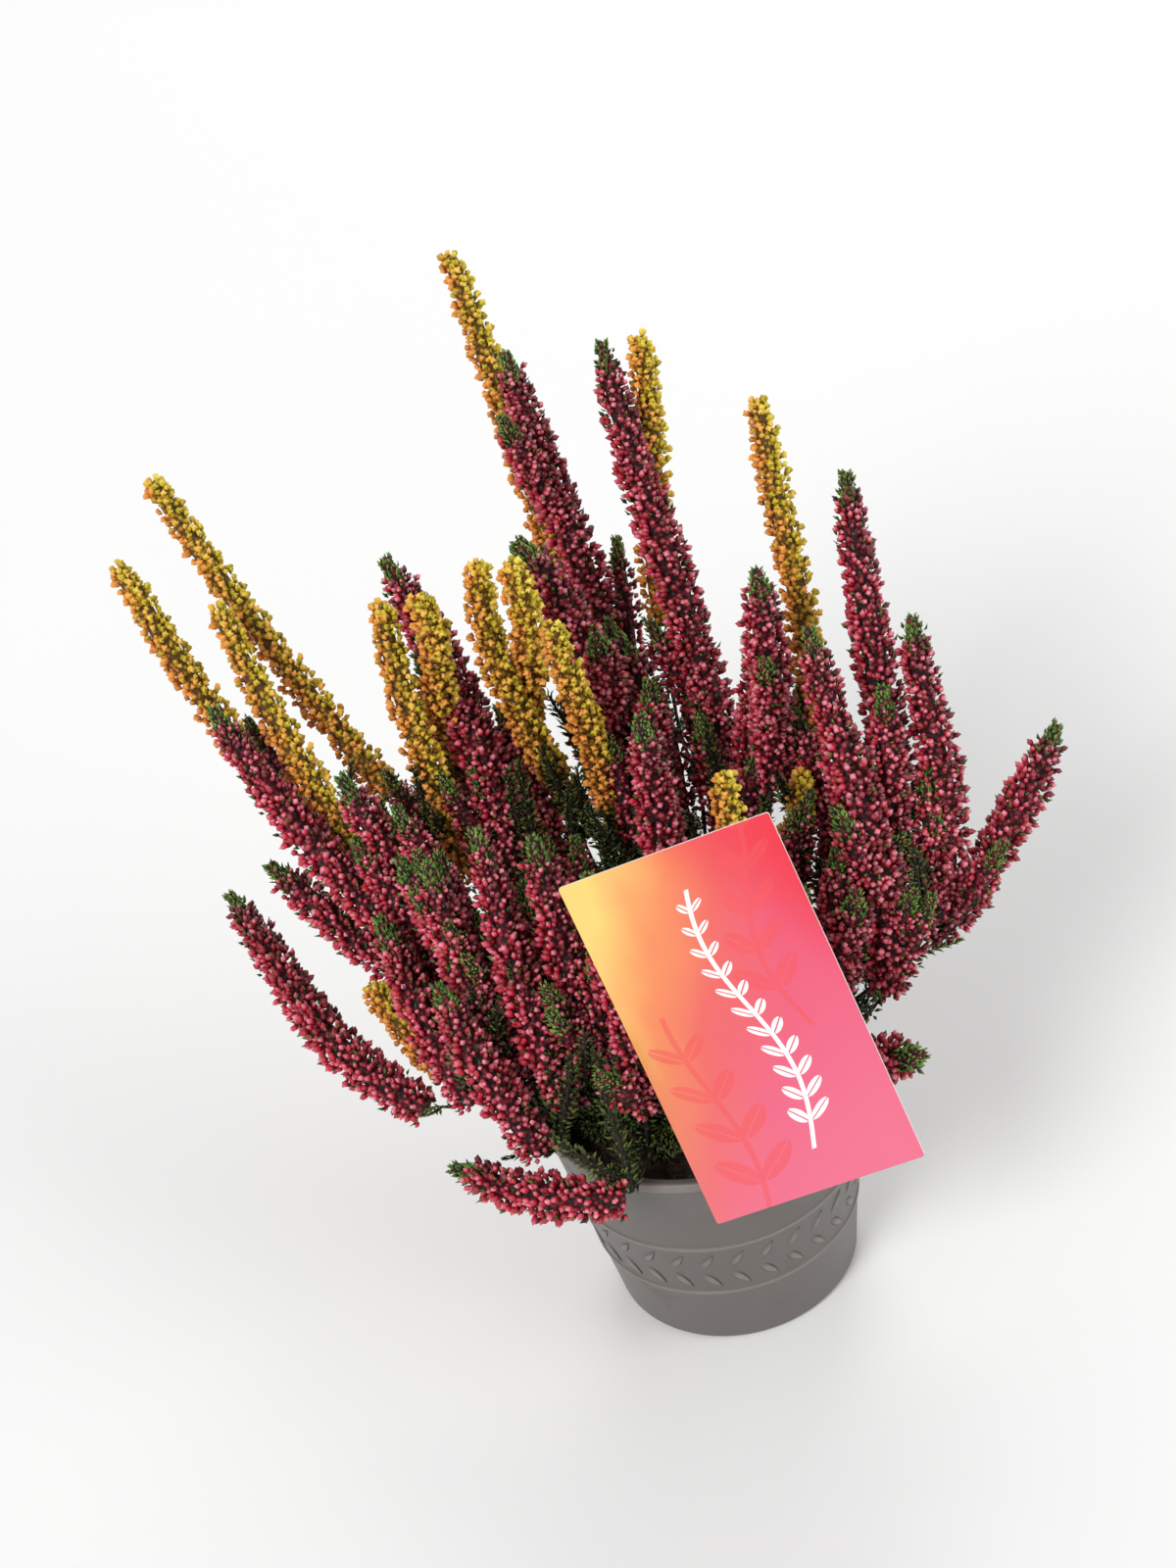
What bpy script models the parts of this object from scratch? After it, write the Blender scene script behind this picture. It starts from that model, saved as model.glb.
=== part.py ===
# A potted heather: a tapered plastic pot of peat with eight small heather plants in it, whose leafy
# stems carry crimson bud spikes and gold foliage shoots, and a picture card on a stake at the front.
# Metres, +Z up. The origin is the middle of the pot's underside, and the card is on the -Y side.

import math
import random

import bmesh
import bpy
import numpy as np
from mathutils import Matrix, Vector

MM = 0.001
GAP = 0.3 * MM
TURN_SIDES = 32

# The pot, a nominal 11 cm grower's pot
POT_HEIGHT = 88 * MM
POT_RIM_RADIUS = 55 * MM
POT_BASE_RADIUS = 40 * MM
POT_WALL = 1.6 * MM
POT_LIP = 1.5 * MM
POT_LIP_HEIGHT = 3.4 * MM
POT_FLOOR = 5 * MM
FOOT_WIDTH = 4 * MM
FOOT_RECESS = 2.5 * MM
FOOT_PAD_RADIUS = 15 * MM
BAND_HEIGHTS = (27 * MM, 51 * MM)
BAND_PROUD = 0.6 * MM
DRAIN_COUNT = 6
DRAIN_RADIUS = 3.5 * MM
DRAIN_CIRCLE = 25 * MM

# The peat
SOIL_TOP = 77.5 * MM
SOIL_LUMP = 1.5 * MM
HOLE_TOP = SOIL_TOP + 9 * MM

# The card and its stake
CARD_WIDTH = 70 * MM
CARD_LENGTH = 120 * MM
CARD_THICK = 0.8 * MM
CARD_CORNER = 3 * MM
CARD_CENTRE = Vector((17, -43, 140)) * MM
CARD_FACING = math.radians(-15)
CARD_LEAN = math.radians(20)
CARD_ROLL = math.radians(17)
STAKE_WIDTH = 10 * MM
STAKE_THICK = 1.4 * MM
STAKE_DEPTH = 26 * MM
STAKE_HEAD = 38 * MM
STAKE_LEAN = 8 * MM

# The plants: azimuth in degrees and reach in mm of each one's root, the woody root and its knob
PLANTS = ((5, 34), (62, 34), (93, 35), (121, 36), (148, 37), (-172, 36), (-135, 28), (-30, 24))
PLANT_SHOOTS = 6
ROOT_RADIUS = 3 * MM
ROOT_DEPTH = 14 * MM
ROOT_SIDES = 8
KNOB_RADIUS = 4.2 * MM
KNOB_RISE = 5 * MM

# The stems that rise from a knob: bare at first, then leafy
STEM_RADIUS = 1.3 * MM
LEAFY_RADIUS = 3.2 * MM
BARE_LENGTH = 12 * MM
LEAF_PITCH = 7.5 * MM

# How the shoots are bent clear of each other
CLEARANCE = 0.9 * MM
POINT_SPACING = 4.5 * MM
BEND_ROUNDS = 420
BEND_WIDTH = 6
BEND_GAIN = 1.6
PULL_HOME = 0.004
PAIR_ROUNDS = 15
PAIR_REACH = 9 * MM
LIP_GUARD = 1.6 * MM
LIP_MARGIN = 0.8 * MM
WALL_MARGIN = 2 * MM
RISE_AT_ROOT = 0.5
RISE_AT_TIP = 0.35

# How each kind of growth is formed: radius over the bud tips at the foot, the middle and the end, then
# the core's share of it, the pitch of the bud rows, how far a bud leans up in pitches, buds in a row
KINDS = {
    "crimson": {"radii": (6.4, 7.6, 4.4), "core": 0.58, "pitch": 6.3, "lean": 0.45, "buds": 4},
    "gold": {"radii": (6.6, 6.2, 4.8), "core": 0.52, "pitch": 6.9, "lean": 0.85, "buds": 4},
}

# Each shoot: kind, then azimuth in degrees, reach and height in mm of its end and of its foot.
# Azimuth 0 is +X and 90 is +Y, the side away from the card.
SHOOTS = (
    ("gold", (138, 195, 235), (137, 150, 140)),
    ("gold", (130, 200, 250), (130, 120, 150)),
    ("gold", (135, 165, 220), (145, 105, 135)),
    ("gold", (96, 165, 300), (91, 120, 165)),
    ("gold", (126, 110, 225), (130, 85, 130)),
    ("gold", (124, 90, 235), (118, 105, 155)),
    ("gold", (112, 85, 240), (105, 85, 130)),
    ("gold", (106, 70, 245), (108, 95, 150)),
    ("gold", (102, 60, 225), (95, 70, 140)),
    ("gold", (75, 135, 275), (79, 120, 175)),
    ("gold", (55, 115, 265), (45, 85, 155)),
    ("gold", (40, 70, 155), (30, 55, 115)),
    ("gold", (162, 100, 122), (180, 75, 105)),
    ("crimson", (147, 165, 125), (-178, 87, 100)),
    ("crimson", (150, 138, 150), (158, 75, 115)),
    ("crimson", (-160, 86, 94), (-118, 68, 96)),
    ("crimson", (142, 160, 195), (158, 75, 118)),
    ("crimson", (117, 130, 225), (120, 78, 135)),
    ("crimson", (93, 140, 275), (89, 120, 175)),
    ("crimson", (99, 95, 235), (82, 72, 128)),
    ("crimson", (80, 135, 275), (69, 86, 138)),
    ("crimson", (45, 75, 232), (50, 70, 150)),
    ("crimson", (43, 120, 240), (0, 68, 118)),
    ("crimson", (24, 106, 208), (7, 84, 120)),
    ("crimson", (32, 76, 215), (-8, 65, 112)),
    ("crimson", (19, 145, 150), (8, 90, 112)),
    ("crimson", (-34, 82, 112), (-32, 52, 100)),
    ("crimson", (143, 112, 180), (150, 70, 122)),
    ("crimson", (157, 82, 170), (172, 55, 118)),
    ("crimson", (163, 70, 175), (-166, 58, 106)),
    ("crimson", (156, 55, 182), (-150, 48, 106)),
    ("crimson", (160, 35, 182), (-146, 34, 112)),
    ("crimson", (160, 92, 150), (-172, 70, 105)),
    ("crimson", (-178, 70, 146), (-146, 64, 101)),
    ("crimson", (-160, 20, 178), (-116, 38, 110)),
    ("crimson", (60, 100, 180), (58, 55, 115)),
    ("crimson", (85, 100, 185), (85, 50, 115)),
    ("crimson", (115, 105, 165), (112, 60, 112)),
    ("crimson", (35, 85, 160), (28, 55, 112)),
    ("crimson", (5, 75, 155), (5, 45, 110)),
    ("crimson", (-65, 38, 150), (-62, 34, 105)),
    ("crimson", (75, 30, 205), (80, 22, 125)),
    ("gold", (20, 30, 190), (-20, 24, 120)),
    ("crimson", (-15, 62, 155), (-20, 45, 110)),
)

# Short leafy sprigs with no flowers: azimuth in degrees, reach and height in mm of the end
SPRIGS = (
    (-100, 40, 106),
    (-128, 44, 108),
    (-155, 52, 104),
    (-80, 22, 112),
    (170, 55, 106),
    (110, 58, 104),
    (60, 60, 106),
    (20, 62, 104),
    (-15, 60, 104),
    (-45, 46, 102),
    (80, 8, 120),
    (-125, 8, 116),
    (170, 26, 112),
    (25, 30, 112),
)


def polar(azimuth, reach, height):
    """A place in metres from degrees and millimetres."""
    turn = math.radians(azimuth)
    return np.array((reach * math.cos(turn), reach * math.sin(turn), height)) * MM


def material(name, color, roughness, metallic=0.0):
    made = bpy.data.materials.new(name)
    made.use_nodes = True
    shader = made.node_tree.nodes["Principled BSDF"]
    shader.inputs["Base Color"].default_value = (*color, 1.0)
    shader.inputs["Roughness"].default_value = roughness
    shader.inputs["Metallic"].default_value = metallic
    return made


def add_object(name, vertices, faces, finish, smooth=False):
    mesh = bpy.data.meshes.new(name)
    mesh.from_pydata([tuple(v) for v in vertices], [], faces)
    mesh.validate()
    if smooth:
        mesh.shade_smooth()
        mesh.set_sharp_from_angle(angle=math.radians(35))
    made = bpy.data.objects.new(name, mesh)
    if finish is not None:
        mesh.materials.append(finish)
    bpy.context.collection.objects.link(made)
    return made


def bake(target, helpers):
    """Applies the target's modifiers and removes the helper objects they used."""
    graph = bpy.context.evaluated_depsgraph_get()
    mesh = bpy.data.meshes.new_from_object(target.evaluated_get(graph))
    target.modifiers.clear()
    target.data = mesh
    for helper in helpers:
        bpy.data.objects.remove(helper)


def turned(profile, sides):
    """Vertices and faces of a solid turned about Z from (radius, height) pairs, axis to axis."""
    vertices = []
    rings = []
    for radius, height in profile:
        if radius == 0:
            rings.append([len(vertices)] * sides)
            vertices.append((0, 0, height))
            continue
        rings.append([len(vertices) + k for k in range(sides)])
        for k in range(sides):
            turn = 2 * math.pi * k / sides
            vertices.append((radius * math.cos(turn), radius * math.sin(turn), height))
    faces = []
    for low, high in zip(rings, rings[1:]):
        for k in range(sides):
            j = (k + 1) % sides
            corners = [low[k], low[j], high[j], high[k]]
            faces.append(list(dict.fromkeys(corners)))
    return vertices, faces


def cylinder(name, centre, radius, bottom, top, sides):
    vertices, faces = turned([(0, bottom), (radius, bottom), (radius, top), (0, top)], sides)
    placed = [(x + centre[0], y + centre[1], z) for x, y, z in vertices]
    return add_object(name, placed, faces, None)


def pot_radius(height):
    """The outside of the wall, without the lip and the raised lines."""
    top = POT_RIM_RADIUS - POT_LIP
    return POT_BASE_RADIUS + (top - POT_BASE_RADIUS) * height / POT_HEIGHT


def pot():
    lip_foot = POT_HEIGHT - POT_LIP_HEIGHT
    edge = 0.6 * MM
    profile = [
        (0, 0),
        (FOOT_PAD_RADIUS, 0),
        (FOOT_PAD_RADIUS + edge, FOOT_RECESS),
        (POT_BASE_RADIUS - FOOT_WIDTH - 2 * edge, FOOT_RECESS),
        (POT_BASE_RADIUS - FOOT_WIDTH - edge, 0),
        (POT_BASE_RADIUS - edge, 0),
        (pot_radius(1.2 * MM), 1.2 * MM),
    ]
    for height in BAND_HEIGHTS:
        profile.append((pot_radius(height - edge), height - edge))
        profile.append((pot_radius(height) + BAND_PROUD, height))
        profile.append((pot_radius(height + edge), height + edge))
    profile += [
        (pot_radius(lip_foot - edge), lip_foot - edge),
        (POT_RIM_RADIUS, lip_foot),
        (POT_RIM_RADIUS, POT_HEIGHT - edge),
        (POT_RIM_RADIUS - edge, POT_HEIGHT),
        (POT_RIM_RADIUS - POT_LIP - POT_WALL + edge, POT_HEIGHT),
        (pot_radius(POT_HEIGHT - edge) - POT_WALL, POT_HEIGHT - edge),
        (pot_radius(POT_FLOOR) - POT_WALL, POT_FLOOR),
        (0, POT_FLOOR),
    ]
    vertices, faces = turned(profile, TURN_SIDES)
    grey = material("pot_plastic", (0.165, 0.150, 0.140), 0.45)
    made = add_object("pot", vertices, faces, grey, smooth=True)
    drains = bpy.data.collections.new("drains")
    bpy.context.scene.collection.children.link(drains)
    for k in range(DRAIN_COUNT):
        turn = 2 * math.pi * (k + 0.5) / DRAIN_COUNT
        place = (DRAIN_CIRCLE * math.cos(turn), DRAIN_CIRCLE * math.sin(turn))
        drain = cylinder("drain", place, DRAIN_RADIUS, -MM, POT_FLOOR + MM, 10)
        bpy.context.collection.objects.unlink(drain)
        drains.objects.link(drain)
    cut = made.modifiers.new("drains", "BOOLEAN")
    cut.operation = "DIFFERENCE"
    cut.operand_type = "COLLECTION"
    cut.collection = drains
    cut.solver = "EXACT"
    bake(made, list(drains.objects))
    bpy.data.collections.remove(drains)


def card_axes():
    """The card's right, up and facing directions."""
    right = Vector((math.cos(CARD_FACING), math.sin(CARD_FACING), 0))
    away = Vector((-math.sin(CARD_FACING), math.cos(CARD_FACING), 0))
    rising = Vector((0, 0, 1)) * math.cos(CARD_LEAN) + away * math.sin(CARD_LEAN)
    across = right * math.cos(CARD_ROLL) + rising * math.sin(CARD_ROLL)
    along = rising * math.cos(CARD_ROLL) - right * math.sin(CARD_ROLL)
    return across, along, across.cross(along)


def rounded_outline(width, height, corner, steps):
    points = []
    for quarter, (sx, sy) in enumerate(((1, 1), (-1, 1), (-1, -1), (1, -1))):
        for k in range(steps + 1):
            turn = math.pi / 2 * (quarter + k / steps)
            x = sx * (width / 2 - corner) + corner * math.cos(turn)
            y = sy * (height / 2 - corner) + corner * math.sin(turn)
            points.append((x, y))
    return points


def extruded(outline, thickness, place):
    """A plate from a counter-clockwise outline, from 0 to thickness along the place's third axis."""
    count = len(outline)
    vertices = [place @ Vector((x, y, 0)) for x, y in outline]
    vertices += [place @ Vector((x, y, thickness)) for x, y in outline]
    faces = [list(reversed(range(count))), list(range(count, 2 * count))]
    for k in range(count):
        j = (k + 1) % count
        faces.append([k, j, count + j, count + k])
    return vertices, faces


def label_card():
    across, along, facing = card_axes()
    place = Matrix.Translation(CARD_CENTRE) @ Matrix((across, along, facing)).transposed().to_4x4()
    outline = rounded_outline(CARD_WIDTH, CARD_LENGTH, CARD_CORNER, 3)
    vertices, faces = extruded(outline, CARD_THICK, place)
    add_object("label_card", vertices, faces, material("card_print", (0.86, 0.16, 0.22), 0.35))


def stake_frame():
    """The stake's sideways, level forward and upward ways, its foot and its bend behind the card."""
    facing = card_axes()[2]
    forward = Vector((facing.x, facing.y, 0)).normalized()
    level = Vector((0, 0, 1))
    rising = (level - facing * level.dot(facing)).normalized()
    sideways = rising.cross(facing).normalized()
    bend = CARD_CENTRE - facing * (GAP + STAKE_THICK)
    foot = Vector((bend.x, bend.y, SOIL_TOP - STAKE_DEPTH)) - forward * STAKE_LEAN
    return sideways, forward, rising, foot, bend


def stake_place(height):
    """The middle of the stake's back at a height below the bend."""
    foot, bend = stake_frame()[3:]
    return foot + (bend - foot) * ((height - foot.z) / (bend.z - foot.z))


def label_stake():
    sideways, forward, rising, foot, bend = stake_frame()
    facing = card_axes()[2]
    sections = [
        (foot, forward, 0.25),
        (stake_place(foot.z + 7 * MM), forward, 1.0),
        (stake_place(bend.z - 2 * MM), forward, 1.0),
        (bend + rising * 2 * MM, facing, 1.0),
        (bend + rising * (STAKE_HEAD - 3 * MM), facing, 1.0),
        (bend + rising * STAKE_HEAD, facing, 0.5),
    ]
    vertices = []
    for centre, front, share in sections:
        half = sideways * (share * STAKE_WIDTH / 2)
        deep = front * STAKE_THICK
        vertices += [centre - half, centre + half, centre + half + deep, centre - half + deep]
    faces = [[0, 1, 2, 3]]
    for low in range(0, len(vertices) - 4, 4):
        for a in range(4):
            b = (a + 1) % 4
            faces.append([low + a, low + 4 + a, low + 4 + b, low + b])
    top = len(vertices) - 4
    faces.append([top + 3, top + 2, top + 1, top])
    pale = material("stake_plastic", (0.72, 0.70, 0.62), 0.4)
    make_outward(add_object("label_stake", vertices, faces, pale))


def make_outward(target):
    form = bmesh.new()
    form.from_mesh(target.data)
    bmesh.ops.recalc_face_normals(form, faces=form.faces)
    form.to_mesh(target.data)
    form.free()


def soil():
    """The peat: a tapered plug with a lumpy top, and plain holes for the plants and the stake."""
    rng = random.Random(11)
    wall = POT_WALL + GAP
    foot = POT_FLOOR + GAP
    top_radius = pot_radius(SOIL_TOP) - wall - 0.2 * MM
    profile = [(0, foot), (pot_radius(foot) - wall, foot), (top_radius, SOIL_TOP - 2 * SOIL_LUMP)]
    for share in (0.97, 0.8, 0.62, 0.42, 0.2):
        profile.append((top_radius * share, SOIL_TOP))
    profile.append((0, SOIL_TOP))
    vertices, faces = turned(profile, TURN_SIDES)
    first_top = 1 + 2 * TURN_SIDES
    for k in range(first_top, len(vertices)):
        x, y, z = vertices[k]
        vertices[k] = (x, y, z + SOIL_LUMP * rng.uniform(-1, 1))
    made = add_object("soil", vertices, faces, material("peat", (0.035, 0.022, 0.014), 0.95))
    holes = bpy.data.collections.new("holes")
    bpy.context.scene.collection.children.link(holes)
    cutters = []
    for azimuth, reach in PLANTS:
        place = polar(azimuth, reach, 0)
        low = SOIL_TOP - ROOT_DEPTH - GAP
        cutters.append(cylinder("hole", place, ROOT_RADIUS + GAP, low, HOLE_TOP, ROOT_SIDES))
    cutters.append(stake_hole())
    for cutter in cutters:
        bpy.context.collection.objects.unlink(cutter)
        holes.objects.link(cutter)
    cut = made.modifiers.new("holes", "BOOLEAN")
    cut.operation = "DIFFERENCE"
    cut.operand_type = "COLLECTION"
    cut.collection = holes
    cut.solver = "EXACT"
    bake(made, list(holes.objects))
    bpy.data.collections.remove(holes)


def stake_hole():
    """The slit that the stake stands in, wider by the gap all round."""
    sideways, forward = stake_frame()[:2]
    half = sideways * (STAKE_WIDTH / 2 + GAP)
    deep = forward * (STAKE_THICK + GAP)
    vertices = []
    for height in (SOIL_TOP - STAKE_DEPTH - GAP, HOLE_TOP):
        centre = stake_place(height)
        near = centre - forward * GAP
        vertices += [near - half, near + half, centre + half + deep, centre - half + deep]
    faces = [[0, 1, 2, 3], [7, 6, 5, 4]]
    for a in range(4):
        b = (a + 1) % 4
        faces.append([a, a + 4, b + 4, b])
    made = add_object("hole", vertices, faces, None)
    make_outward(made)
    return made


def arc(start, start_way, end, end_way):
    """Points along a smooth arc that leaves and arrives in the given directions."""
    reach = np.linalg.norm(end - start)
    t = np.linspace(0, 1, 60)[:, None]
    return (
        (2 * t**3 - 3 * t**2 + 1) * start
        + (t**3 - 2 * t**2 + t) * reach * start_way
        + (3 * t**2 - 2 * t**3) * end
        + (t**3 - t**2) * reach * end_way
    )


def unit(vector):
    return vector / np.linalg.norm(vector)


def spread(points, spacing):
    """The same line with evenly spaced points."""
    steps = np.linalg.norm(np.diff(points, axis=0), axis=1)
    run = np.concatenate(([0], np.cumsum(steps)))
    count = max(3, int(round(run[-1] / spacing)) + 1)
    places = np.linspace(0, run[-1], count)
    return np.stack([np.interp(places, run, points[:, k]) for k in range(3)], axis=1)


def shared_out():
    """The plant of each shoot: the nearest one that still has room for it."""
    feet = [polar(*foot) for _, _, foot in SHOOTS]
    roots = [polar(azimuth, reach, 0) for azimuth, reach in PLANTS]
    choices = []
    for shoot, foot in enumerate(feet):
        for plant, root in enumerate(roots):
            choices.append((float(np.linalg.norm((foot - root)[:2])), shoot, plant))
    chosen = {}
    room = [PLANT_SHOOTS] * len(PLANTS)
    for _, shoot, plant in sorted(choices):
        if shoot not in chosen and room[plant] > 0:
            chosen[shoot] = plant
            room[plant] -= 1
    return [chosen[shoot] for shoot in range(len(SHOOTS))]


def shoot_lines():
    """For each shoot and sprig its plant, its points from the root to the end, and where its foot is."""
    rise = SOIL_TOP + SOIL_LUMP + KNOB_RISE - STEM_RADIUS
    lines = []
    for (_, end, foot), plant in zip(SHOOTS, shared_out()):
        tip = polar(*end)
        base = polar(*foot)
        root = polar(*PLANTS[plant], 0) + np.array((0, 0, rise))
        lower = unit(base - root)
        upper = unit(tip - base)
        through = unit(lower + 1.4 * upper)
        leave = unit(lower + np.array((0, 0, RISE_AT_ROOT)))
        arrive = unit(upper + np.array((0, 0, RISE_AT_TIP)))
        low = spread(arc(root, leave, base, through), POINT_SPACING)
        high = spread(arc(base, through, tip, arrive), POINT_SPACING)
        lines.append((plant, np.concatenate((low, high[1:])), len(low) - 1))
    for end in SPRIGS:
        tip = polar(*end)
        roots = [polar(*place, 0) + np.array((0, 0, rise)) for place in PLANTS]
        plant = int(np.argmin([np.linalg.norm(tip - root) for root in roots]))
        way = unit(tip - roots[plant])
        leave = unit(way + np.array((0, 0, RISE_AT_ROOT)))
        points = spread(arc(roots[plant], leave, tip, way), POINT_SPACING)
        lines.append((plant, points, len(points) - 1))
    return lines


def growth_radius(kind, share):
    """Radius over the bud tips at a share of the way along a spike."""
    foot, middle, end = KINDS[kind]["radii"]
    return MM * np.interp(share, (0, 0.15, 0.6, 0.9, 1), (foot, middle, middle, end, 0.8 * end))


def make_clear(lines):
    """Bends the shoots clear of each other, the pot, the peat, the card and the stake."""
    count = [len(points) for _, points, _ in lines]
    start = np.concatenate(([0], np.cumsum(count)))
    place = np.concatenate([points for _, points, _ in lines])
    home = place.copy()
    owner = np.repeat(np.arange(len(lines)), count)
    plant = np.array([line[0] for line in lines])[owner]
    radius = np.zeros(len(place))
    joined = np.zeros(len(place), bool)
    held = np.zeros(len(place), bool)
    for k, (_, points, foot) in enumerate(lines):
        index = np.arange(len(points))
        run = index * POINT_SPACING
        size = np.where(run < BARE_LENGTH, STEM_RADIUS, LEAFY_RADIUS)
        if k < len(SHOOTS):
            share = np.clip((index - foot) / (len(points) - 1 - foot), 0, 1)
            size = np.where(index < foot, size, growth_radius(SHOOTS[k][0], share))
        part = slice(start[k], start[k + 1])
        radius[part] = size
        joined[part] = run < BARE_LENGTH
        held[start[k]] = True
    across, along, facing = (np.array(way) for way in card_axes())
    for turn in range(BEND_ROUNDS):
        if turn % PAIR_ROUNDS == 0:
            pairs = near_pairs(place, radius, owner, plant, joined)
        push = np.zeros_like(place)
        first, second = pairs
        between = place[first] - place[second]
        distance = np.linalg.norm(between, axis=1)
        lack = np.clip(radius[first] + radius[second] + CLEARANCE - distance, 0, None)
        shove = between / np.maximum(distance, 1e-6)[:, None] * (lack * 0.5)[:, None]
        np.add.at(push, first, shove)
        np.add.at(push, second, -shove)
        push += clear_of_pot(place, radius)
        push += clear_of_card(place, radius, across, along, facing)
        push += clear_of_stake(place, radius)
        push += (home - place) * PULL_HOME
        push[held] = 0
        for k in range(len(lines)):
            part = slice(start[k], start[k + 1])
            push[part] = blended(push[part])
        place = place + push
        place[held] = home[held]
    return [
        (plant_index, place[start[k] : start[k + 1]], foot)
        for k, (plant_index, _, foot) in enumerate(lines)
    ]


def near_pairs(place, radius, owner, plant, joined):
    """The points of different shoots that lie close, but for those that join at one plant's knob."""
    first, second = np.triu_indices(len(place), 1)
    apart = owner[first] != owner[second]
    fused = joined[first] & joined[second] & (plant[first] == plant[second])
    first = first[apart & ~fused]
    second = second[apart & ~fused]
    distance = np.linalg.norm(place[first] - place[second], axis=1)
    close = distance < radius[first] + radius[second] + PAIR_REACH
    return first[close], second[close]


def blended(push):
    """A push spread along the shoot, so that it bends and doesn't kink."""
    for _ in range(BEND_WIDTH):
        wide = np.concatenate((push[:1] * 0, push, push[-1:]))
        push = 0.25 * wide[:-2] + 0.5 * wide[1:-1] + 0.25 * wide[2:]
    return push * BEND_GAIN


def clear_of_pot(place, radius):
    push = np.zeros_like(place)
    reach = np.maximum(np.hypot(place[:, 0], place[:, 1]), 1e-6)
    out = place[:, :2] / reach[:, None]
    rim_reach = POT_RIM_RADIUS - LIP_GUARD
    rim_height = POT_HEIGHT - LIP_GUARD
    over = np.stack((reach - rim_reach, place[:, 2] - rim_height), axis=1)
    distance = np.linalg.norm(over, axis=1)
    lack = np.clip(radius + LIP_GUARD + LIP_MARGIN + CLEARANCE - distance, 0, None)
    over[:, 1] = np.abs(over[:, 1])
    way = over / np.maximum(distance, 1e-6)[:, None]
    push[:, :2] += out * (way[:, 0] * lack * 0.5)[:, None]
    push[:, 2] += way[:, 1] * lack
    inside = reach < rim_reach
    floor = np.clip(SOIL_TOP + SOIL_LUMP + radius + CLEARANCE - place[:, 2], 0, None)
    push[:, 2] += np.where(inside, floor, 0)
    wall = pot_radius(np.minimum(place[:, 2], POT_HEIGHT)) + WALL_MARGIN + radius
    outside = (reach >= rim_reach) & (place[:, 2] < POT_HEIGHT)
    push[:, :2] += out * np.where(outside, np.clip(wall - reach, 0, None), 0)[:, None]
    return push


def clear_of_card(place, radius, across, along, facing):
    offset = place - np.array(CARD_CENTRE)
    beside = np.abs(offset @ across) < CARD_WIDTH / 2 + radius
    below = np.abs(offset @ along) < CARD_LENGTH / 2 + radius
    lack = np.clip(offset @ facing + radius + CLEARANCE, 0, None)
    return -facing * np.where(beside & below, lack, 0)[:, None]


def clear_of_stake(place, radius):
    sideways, forward, rising, foot, bend = (np.array(part) for part in stake_frame())
    below = np.clip(bend[2] - place[:, 2], 0, None) / (bend[2] - foot[2])
    above = np.clip(place[:, 2] - bend[2], 0, None) / rising[2]
    level = place - bend + forward * (STAKE_LEAN * below)[:, None] - rising * above[:, None]
    side = level @ sideways
    depth = level @ forward
    reach = STAKE_WIDTH / 2 + radius + CLEARANCE
    room = STAKE_THICK + radius + CLEARANCE
    near = (np.abs(side) < reach) & (np.abs(depth) < room) & (place[:, 2] < bend[2] + STAKE_HEAD)
    aside = np.where(side < 0, -1.0, 1.0) * (reach - np.abs(side)) * 0.5
    back = (np.abs(depth) - room) * 0.5
    push = sideways * aside[:, None] + forward * back[:, None]
    return push * near[:, None]


def frames(points):
    """A pair of directions across the line at each point, without twist."""
    ways = np.gradient(points, axis=0)
    ways /= np.linalg.norm(ways, axis=1)[:, None]
    side = unit(np.cross(ways[0], (0.0, 0.0, 1.0) if abs(ways[0][2]) < 0.9 else (1.0, 0.0, 0.0)))
    sides = []
    for way in ways:
        side = unit(side - way * (side @ way))
        sides.append(side)
    sides = np.array(sides)
    return ways, sides, np.cross(ways, sides)


def bud_surface(points, tip_radii, core_radii, lean, around):
    """A closed tube whose alternate corners stand out as buds that lean towards its end."""
    ways, sides, fronts = frames(points)
    step = np.linalg.norm(points[1] - points[0])
    vertices = [points[0]]
    for row, centre in enumerate(points):
        edge = row in (0, len(points) - 1)
        for k in range(around):
            bud = (row + k) % 2 == 1 and not edge
            radius = tip_radii[row] if bud else core_radii[row]
            turn = 2 * math.pi * k / around
            out = sides[row] * math.cos(turn) + fronts[row] * math.sin(turn)
            up = ways[row] * (lean * step if bud else 0)
            vertices.append(centre + out * radius + up)
    vertices.append(points[-1] + ways[-1] * core_radii[-1] * 0.8)
    last = len(vertices) - 1
    faces = []
    for row in range(len(points) - 1):
        low = 1 + row * around
        for k in range(around):
            j = (k + 1) % around
            a, b, c, d = low + k, low + j, low + around + j, low + around + k
            if (row + k) % 2 == 1:
                faces += [[a, b, d], [b, c, d]]
            else:
                faces += [[a, b, c], [a, c, d]]
    for k in range(around):
        j = (k + 1) % around
        faces.append([0, 1 + j, 1 + k])
        faces.append([last, last - around + k, last - around + j])
    return vertices, faces


def spike(name, kind, points, finish):
    form = KINDS[kind]
    line = spread(points, form["pitch"] * MM)
    share = np.linspace(0, 1, len(line))
    tips = growth_radius(kind, share)
    cores = tips * form["core"]
    cores[-1] *= 0.75
    vertices, faces = bud_surface(line, tips, cores, form["lean"], 2 * form["buds"])
    add_object(name, vertices, faces, finish)


def stem(points):
    """One leafy stem with its leaves in crossed pairs, bare near the root."""
    line = spread(points, LEAF_PITCH)
    run = np.arange(len(line)) * LEAF_PITCH
    tips = np.where(run < BARE_LENGTH, STEM_RADIUS, LEAFY_RADIUS)
    tips[-2] = LEAFY_RADIUS * 0.8
    cores = np.full(len(line), STEM_RADIUS)
    vertices, faces = bud_surface(line, tips, cores, 0.5, 4)
    return add_object("stem", vertices, faces, None)


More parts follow.
